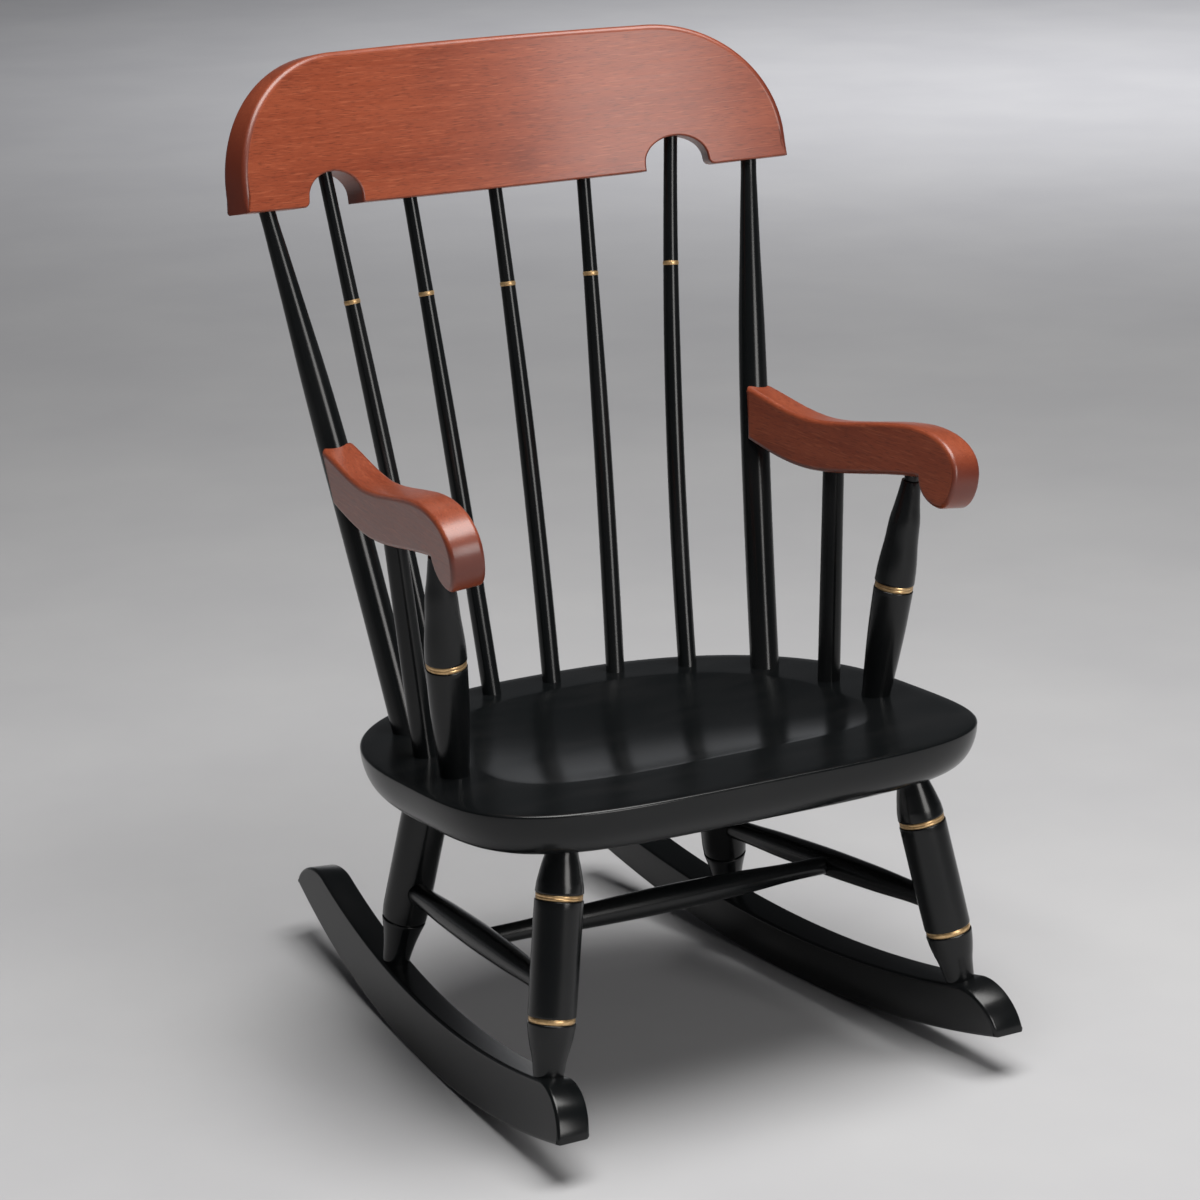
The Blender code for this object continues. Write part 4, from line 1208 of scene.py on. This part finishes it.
@dataclass(frozen=True)
class Arms:
    """Sawn arms with scrolled fronts, coped to the back posts, on a spindle and a turned post."""

    seat: Seat
    back: Back
    height: float = 0.420
    flare: float = 5.6
    cant: float = 7.2
    thickness: float = 0.0250
    edge: float = 0.0034
    reach: float = 0.2508
    heel: float = 0.0062
    heel_slope: float = 0.72
    heel_top: float = 0.0222
    heel_bottom: float = -0.0173
    waist: Pair = (0.076, 0.0142)
    belly: Pair = (0.073, -0.0245)
    crown: Pair = (0.203, 0.0332)
    scroll_middle: float = 0.0040
    tip: Pair = (0.2355, -0.0196)
    notch: Pair = (0.2095, -0.0024)
    spindle_seat: Pair = (0.1698, -0.0337)
    spindle_reach: float = 0.1018
    spindle_radii: Pair = (0.0085, 0.0080)
    post_seat: Pair = (0.1748, -0.0903)
    post_reach: float = 0.1908
    ring_height: float = 0.0865
    ring_width: float = 0.0046
    socket: float = 0.014
    post_foot: Pairs = ((0.0, 0.0106), (0.016, 0.0117), (0.037, 0.0131), (0.058, 0.0141))
    post_neck: Pairs = ((0.100, 0.0144), (0.122, 0.0123), (0.136, 0.0114), (0.150, 0.0092), (0.161, 0.0077))
    ring_radii: tuple[float, float, float] = (0.0147, 0.0136, 0.0148)
    ring_lip: float = 0.001
    shoulder: Pairs = ((-0.0042, 0.0070), (-0.0038, 0.0066), (-0.0038, 0.0054))
    paint_gap: float = 0.0001
    paint_radius: float = 0.0140

    def frame(self, side: Side) -> tuple[Array, Array]:
        """Origin on the post's axis, and the matrix whose columns point forwards, across and up.

        The arm leans outwards, as its post does.
        """
        flare, cant = math.radians(self.flare), math.radians(self.cant)
        forward = np.array([side.value * math.sin(flare), -math.cos(flare), 0.0])
        across = np.cross([0.0, 0.0, 1.0], forward)
        up = np.array([0.0, 0.0, math.cos(cant)]) + across * side.value * math.sin(cant)
        origin = self.back.post_axis(side).at_height(self.height)
        return origin, np.stack([forward, np.cross(up, forward), up], axis=1)

    def place(self, flat: Array, side: Side) -> Array:
        """Take (forwards, across, up) to the chair's frame."""
        origin, turn = self.frame(side)
        return origin + flat @ turn.T

    def _paths(self, side: Side) -> tuple[Array, Array, Array]:
        """The heel-to-crown, crown-to-tip and heel-to-notch-to-tip paths of the outline."""
        along = self.back.post_axis(side).along
        lean = along[1] / along[2] * self.heel_slope
        heel = self.heel - lean * self.heel_top
        over = bezier([
            ((heel, self.heel_top), -5, 0.0, 0.022),
            (self.waist, 0, 0.028, 0.038),
            (self.crown, 0, 0.034, 0.0),
        ], 40)
        front = bezier([
            (self.crown, 0, 0.0, 0.030),
            ((self.reach, self.scroll_middle), -90, 0.0185, 0.0125),
            (self.tip, -180, 0.0085, 0.0),
        ], 30)
        under = bezier([
            ((self.heel - lean * self.heel_bottom, self.heel_bottom), -10, 0.0, 0.022),
            (self.belly, 0, 0.022, 0.040),
            (self.notch, 7, 0.045, 0.0),
        ], 40)
        return over, front, under

    def underside(self, side: Side, reach: float) -> float:
        """Height of the underside at a distance forwards."""
        under = self._paths(side)[2]
        return float(np.interp(reach, under[:, 0], under[:, 1]))

    def support_axis(self, side: Side, seat: Pair, reach: float) -> Axis:
        """Axis of a support from the seat to the underside of the arm."""
        foot = self.seat.point(side.value * seat[0], seat[1])
        head = self.place(np.array([[reach, 0.0, self.underside(side, reach)]]), side)[0]
        return Axis(foot, head)

    def build(self) -> None:
        """Build the arms and their supports."""
        edges = (self.edge, self.edge)
        for side in Side:
            over, front, under = self._paths(side)
            curl = bezier([(self.notch, -75, 0.0, 0.011), (self.tip, 0, 0.013, 0.0)], 24)
            upper = np.vstack([spread(over, 90)[:-1], spread(front, 46)[:-1]])
            lower = np.vstack([spread(under, 90)[:-1], spread(curl, 46)[:-1]])
            name = "arm_" + side.word
            rails = (lower, upper)
            plank = loft_plank(name, *rails, self.thickness, edges, lambda flat: self.place(flat, side), 10)
            plank.to_object(name, CHERRY, [name])
            self._spindle(side)
            self._post(side)

    def _spindle(self, side: Side) -> None:
        """Build the plain spindle under an arm."""
        axis = self.support_axis(side, self.spindle_seat, self.spindle_reach)
        base, top = self.spindle_radii
        foot = ((-self.back.seat_socket, base), (self.back.foot_straight, base))
        head = ((axis.length, top), (axis.length + self.socket, top))
        name = "arm_spindle_" + side.word
        revolve(name, axis, flow((*foot, *head), 10), 44).to_object(name, LACQUER, [name])

    def _post(self, side: Side) -> None:
        """Build the turned post under the front of an arm, and the double ring in its groove.

        Its foot and neck meet the groove, and the shoulder's points count back from the head.
        """
        axis = self.support_axis(side, self.post_seat, self.post_reach)
        top = axis.length
        low, high = self.ring_height - self.ring_width / 2, self.ring_height + self.ring_width / 2
        under, floor, over = self.ring_radii
        tenon = (-self.back.seat_socket, self.post_foot[0][1])
        shoulder = [(top + rise, radius) for rise, radius in self.shoulder]
        below = (tenon, *self.post_foot, (low - self.ring_lip, under))
        above = ((high + self.ring_lip, over), *self.post_neck, shoulder[0])
        pin = [*shoulder[1:], (top + self.socket, self.shoulder[-1][1])]
        ring = Groove(low, high, under, over, floor).profile()
        profile = np.vstack([flow(below, 8)[:-1], ring, flow(above, 8)[1:], pin])
        name = "arm_post_" + side.word
        revolve(name, axis, profile, 64).to_object(name, LACQUER, [name])
        band = GoldBand(low + self.paint_gap, high - self.paint_gap, self.paint_radius, humps=2)
        band.lay("gold_ring_arm_" + side.word, axis)


@dataclass(frozen=True)
class Legs:
    """Turned legs and the stretchers that join them."""

    seat: Seat
    rockers: Rockers
    front_foot: float = -0.2153
    front_aim: Pair = (0.1364, -0.1803)
    rear_foot: float = 0.0705
    rear_aim: Pair = (0.1134, 0.0480)
    seat_socket: float = 0.01485
    tenon: float = 0.022
    tenon_radius: float = 0.0072
    tenon_shoulder: float = 0.0015
    front_ankle: Pairs = (
        (-0.0013, 0.0102), (0.0024, 0.0108), (0.0070, 0.0114), (0.0116, 0.0121),
        (0.0162, 0.0131), (0.0208, 0.0143), (0.0280, 0.0158), (0.0362, 0.0169),
    )
    front_shaft: Pairs = ((0.0423, 0.0168), (0.050, 0.0169), (0.080, 0.0171), (0.1210, 0.0171))
    front_neck: Pairs = ((0.1272, 0.0169), (0.1330, 0.0163), (0.1360, 0.0157), (0.1450, 0.0137))
    front_low_groove: Groove = Groove(0.0372, 0.0412, 0.0169, 0.0168, 0.0153, 0.0010)
    front_high_groove: Groove = Groove(0.1219, 0.1262, 0.0171, 0.0169, 0.0158)
    bead: GoldBand = GoldBand(0.0373, 0.0411, 0.0158, 0.0008, 0.0005)
    double_ring: GoldBand = GoldBand(0.1221, 0.1260, 0.0161, 0.0008, 0.0004, 2)
    rear_ankle: Pairs = (
        (-0.0013, 0.0099), (0.006, 0.0107), (0.0145, 0.0119), (0.023, 0.0136), (0.0340, 0.0165),
    )
    rear_groove: Groove = Groove(0.0349, 0.0363, 0.0165, 0.0167, 0.0152)
    rear_shaft: Pairs = ((0.0372, 0.0167), (0.045, 0.0173), (0.085, 0.0175))
    rear_neck: Pairs = ((-0.030, 0.0174), (-0.0265, 0.0170), (-0.016, 0.0148))
    head: Pairs = ((-0.004, 0.0112), (0.0, 0.0108))
    side_heights: Pair = (0.1232, 0.0990)
    side_radii: Pair = (0.0080, 0.0103)
    side_inset: float = 0.0065
    cross_place: float = 0.48
    cross_radii: Pair = (0.0068, 0.0102)
    cross_inset: float = 0.0045
    rod_end: float = 0.028
    rod_quarter: float = 0.29
    rod_swell: float = 0.68

    def axis(self, side: Side, foot_y: float, aim: Pair) -> Axis:
        """Axis of a leg from the top of its rocker to the underside of the seat."""
        foot = self.rockers.point(foot_y, float(self.rockers.top(foot_y)), side)
        target = self.seat.point(side.value * aim[0], aim[1])
        normal = turned_about_x(self.seat.pitch) @ np.array([0.0, 0.0, 1.0])
        under = self.seat.point(0.0, 0.0, self.seat.thickness)
        share = np.dot(under - foot, normal) / np.dot(target - foot, normal)
        return Axis(foot, foot + (target - foot) * share)

    def _head(self, top: float, neck: Pairs = ()) -> list[Pair]:
        """Points that count back from a leg's top, and its tenon in the seat."""
        points = [(top + rise, radius) for rise, radius in (*neck, *self.head)]
        return [*points, (top + self.seat_socket, self.head[-1][1])]

    def _leg(self, name: str, axis: Axis, stretches: Sequence[Array]) -> None:
        """Build a leg from its lower tenon and the stretches of its profile above it."""
        tenon = [(-self.tenon, self.tenon_radius), (-self.tenon_shoulder, self.tenon_radius)]
        revolve(name, axis, np.vstack([tenon, *stretches]), 72).to_object(name, LACQUER, [name])

    def _front(self, side: Side) -> None:
        """Build a front leg: a ring low down and a double one under the neck, both in grooves."""
        axis = self.axis(side, self.front_foot, self.front_aim)
        self._leg("front_leg_" + side.word, axis, [
            flow(self.front_ankle, 6)[:-1],
            self.front_low_groove.profile(),
            flow(self.front_shaft, 8)[1:-1],
            self.front_high_groove.profile(),
            flow((*self.front_neck, *self._head(axis.length)), 6)[1:],
        ])
        self.bead.lay("gold_bead_" + side.word, axis)
        self.double_ring.lay("gold_ring_leg_" + side.word, axis)

    def _rear(self, side: Side) -> None:
        """Build a rear leg with a plain groove."""
        axis = self.axis(side, self.rear_foot, self.rear_aim)
        self._leg("rear_leg_" + side.word, axis, [
            flow(self.rear_ankle, 6)[:-1],
            self.rear_groove.profile(),
            flow((*self.rear_shaft, *self._head(axis.length, self.rear_neck)), 8)[1:],
        ])

    def side_axis(self, side: Side) -> Axis:
        """Axis of a side stretcher, between the legs' axes."""
        front = self.axis(side, self.front_foot, self.front_aim)
        rear = self.axis(side, self.rear_foot, self.rear_aim)
        return Axis(front.at_height(self.side_heights[0]), rear.at_height(self.side_heights[1]))

    def _rod(self, name: str, axis: Axis, radii: Pair, inset: float) -> None:
        """Build a stretcher: straight ends and a long gentle swell.

        Args:
            name: Name of the stretcher.
            axis: Its axis, between the axes of what it joins.
            radii: Radii at its ends and in its middle.
            inset: How far from the joined pieces' axes it ends.
        """
        (end, middle), length, near = radii, axis.length, self.rod_end
        quarter_way, swell = length * self.rod_quarter, end + (middle - end) * self.rod_swell
        half = ((inset, end), (near, end), (quarter_way, swell))
        mirrored = tuple((length - place, radius) for place, radius in half[::-1])
        keys = (*half, (length / 2, middle), *mirrored)
        revolve(name, axis, flow(keys, 10), 48).to_object(name, LACQUER, [name])

    def build(self) -> None:
        """Build the legs and stretchers."""
        ends = []
        for side in Side:
            self._front(side)
            self._rear(side)
            rail = self.side_axis(side)
            self._rod("side_stretcher_" + side.word, rail, self.side_radii, self.side_inset)
            ends.append(rail.at(rail.length * self.cross_place))
        self._rod("cross_stretcher", Axis(*ends), self.cross_radii, self.cross_inset)


@dataclass(frozen=True)
class SoftBox:
    """A rectangular lamp: where it hangs, what it points at, its face, its watts and its light."""

    name: str
    place: Place
    aim: Place
    size: Pair
    power: float
    colour: Colour

    def hang(self) -> None:
        """Hang the lamp with its face square to the line to its aim."""
        data = bpy.data.lights.new(self.name, "AREA")
        data.shape = "RECTANGLE"
        data.size, data.size_y = self.size
        data.energy, data.color = self.power, self.colour
        line = np.array(self.place) - np.array(self.aim)
        line = line / np.linalg.norm(line)
        side = np.cross([0.0, 0.0, 1.0], line)
        side = side / np.linalg.norm(side)
        turn = Matrix(np.stack([side, np.cross(line, side), line], axis=1).tolist())
        made = add_object(self.name, data)
        made.location = self.place
        made.rotation_euler = turn.to_euler()
        made.visible_camera = False


@dataclass(frozen=True)
class Studio:
    """Floor, light and camera."""

    camera_place: Place = (-1.25979, -2.24122, 1.12979)
    forward: Place = (0.465006, 0.832918, -0.300028)
    right: Place = (0.872811, -0.488053, -0.002153)
    lens: float = 110.378
    sensor: float = 36.0
    clip: Pair = (0.05, 80.0)
    floor_size: float = 30.0
    cloth_dark: Colour = (0.50, 0.50, 0.515)
    cloth_light: Colour = (0.54, 0.54, 0.55)
    backdrop: Pair = (0.03, 0.20)
    backdrop_heading: Pair = (0.49, 0.87)
    backdrop_colour: Colour = (0.28, 0.287, 0.30)
    room_colour: Colour = (0.120, 0.122, 0.127)
    ceiling_colour: Colour = (0.036, 0.037, 0.039)
    boxes: tuple[SoftBox, ...] = (
        SoftBox("top_box", (0.2, -0.5, 2.9), (0.05, -0.05, 0.3), (2.2, 1.8), 104.0, (1.0, 0.99, 0.97)),
        SoftBox("front_box", (0.5, -3.0, 1.25), (0.0, 0.0, 0.4), (1.2, 1.5), 37.0, (1.0, 0.98, 0.96)),
        SoftBox("floor_box", (3.2, 3.4, 2.6), (3.9, 5.4, 0.0), (2.0, 2.0), 108.0, (0.98, 0.98, 1.0)),
    )

    def camera(self) -> None:
        """Set the camera where the photograph was taken from, turned with the chair's stance."""
        forward, right = np.array(self.forward), np.array(self.right)
        turn = STANCE.turn @ np.stack([right, np.cross(right, forward), -forward], axis=1)
        data = bpy.data.cameras.new("camera")
        data.lens, data.sensor_width = self.lens, self.sensor
        data.clip_start, data.clip_end = self.clip
        matrix = Matrix(turn.tolist()).to_4x4()
        matrix.translation = STANCE.place(np.array([self.camera_place]))[0]
        made = add_object("camera", data)
        made.matrix_world = matrix
        bpy.context.scene.camera = made

    def floor(self) -> None:
        """Lay a plain pale floor with the faint clouding of a painted cloth."""
        half = self.floor_size / 2
        corners = [(-half, -half, 0), (half, -half, 0), (half, half, 0), (-half, half, 0)]
        mesh = bpy.data.meshes.new("floor")
        mesh.from_pydata(corners, [], [(0, 1, 2, 3)])
        shading = Shading(bpy.data.materials.new("floor_cloth"))
        where = shading.node("ShaderNodeTexCoord", None, None, "Object")
        values = {"Vector": where, "Scale": 3.2, "Detail": 5.0, "Roughness": 0.55}
        cloud = shading.node("ShaderNodeTexNoise", None, values)
        tone = shading.mix(cloud.clip(0.3, 0.7), self.cloth_dark, self.cloth_light)
        values = {"Base Color": tone, "Roughness": 0.9, "Specular IOR Level": 0.1}
        mesh.materials.append(shading.finish(values))
        add_object("floor", mesh)

    def surround(self) -> None:
        """Stand a pale low backdrop behind the chair in a dim room, as the world's colour."""
        world = bpy.data.worlds.new("surround")
        shading = Shading(world)
        direction = shading.node("ShaderNodeTexCoord", None, None, "Generated")
        split = {"Vector": direction}
        across, away, height = (shading.node("ShaderNodeSeparateXYZ", None, split, part) for part in "XYZ")
        behind = across * self.backdrop_heading[0] + away * self.backdrop_heading[1]
        wall = shading.mix(behind.clip(-0.1, 0.7), self.room_colour, self.backdrop_colour)
        tone = shading.mix(height.clip(*self.backdrop), wall, self.ceiling_colour)
        light = shading.node("ShaderNodeBackground", None, {"Color": tone, "Strength": 1.0})
        shading.add("ShaderNodeOutputWorld", None, {"Surface": light})
        bpy.context.scene.world = world

    def build(self) -> None:
        """Set up the studio: a lamp overhead, one low in front, and one for the floor behind."""
        self.camera()
        self.floor()
        self.surround()
        for box in self.boxes:
            box.hang()
        bpy.context.scene.view_settings.view_transform = "Standard"


@dataclass(frozen=True)
class RockingChair:
    """The whole chair."""

    rockers: Rockers = Rockers()
    seat: Seat = Seat()
    crest: CrestRail = CrestRail()

    def build(self) -> None:
        """Build every sub-assembly in the order in which a maker joins them."""
        back = Back(self.seat, self.crest)
        self.rockers.build()
        Legs(self.seat, self.rockers).build()
        self.seat.build()
        back.build()
        self.crest.build()
        Arms(self.seat, back).build()


def main() -> None:
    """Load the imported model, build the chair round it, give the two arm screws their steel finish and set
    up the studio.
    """
    logging.basicConfig(level=logging.INFO, format="%(message)s")
    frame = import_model()
    RockingChair().build()
    for side in Side:
        screw = frame["nodes"]["arm_screw_" + side.word]
        screw.data.materials.clear()
        screw.data.materials.append(STEEL.material())
        LOG.info("%s: kept from the packed model", screw.name)
    Studio().build()


if __name__ == "__main__":
    main()
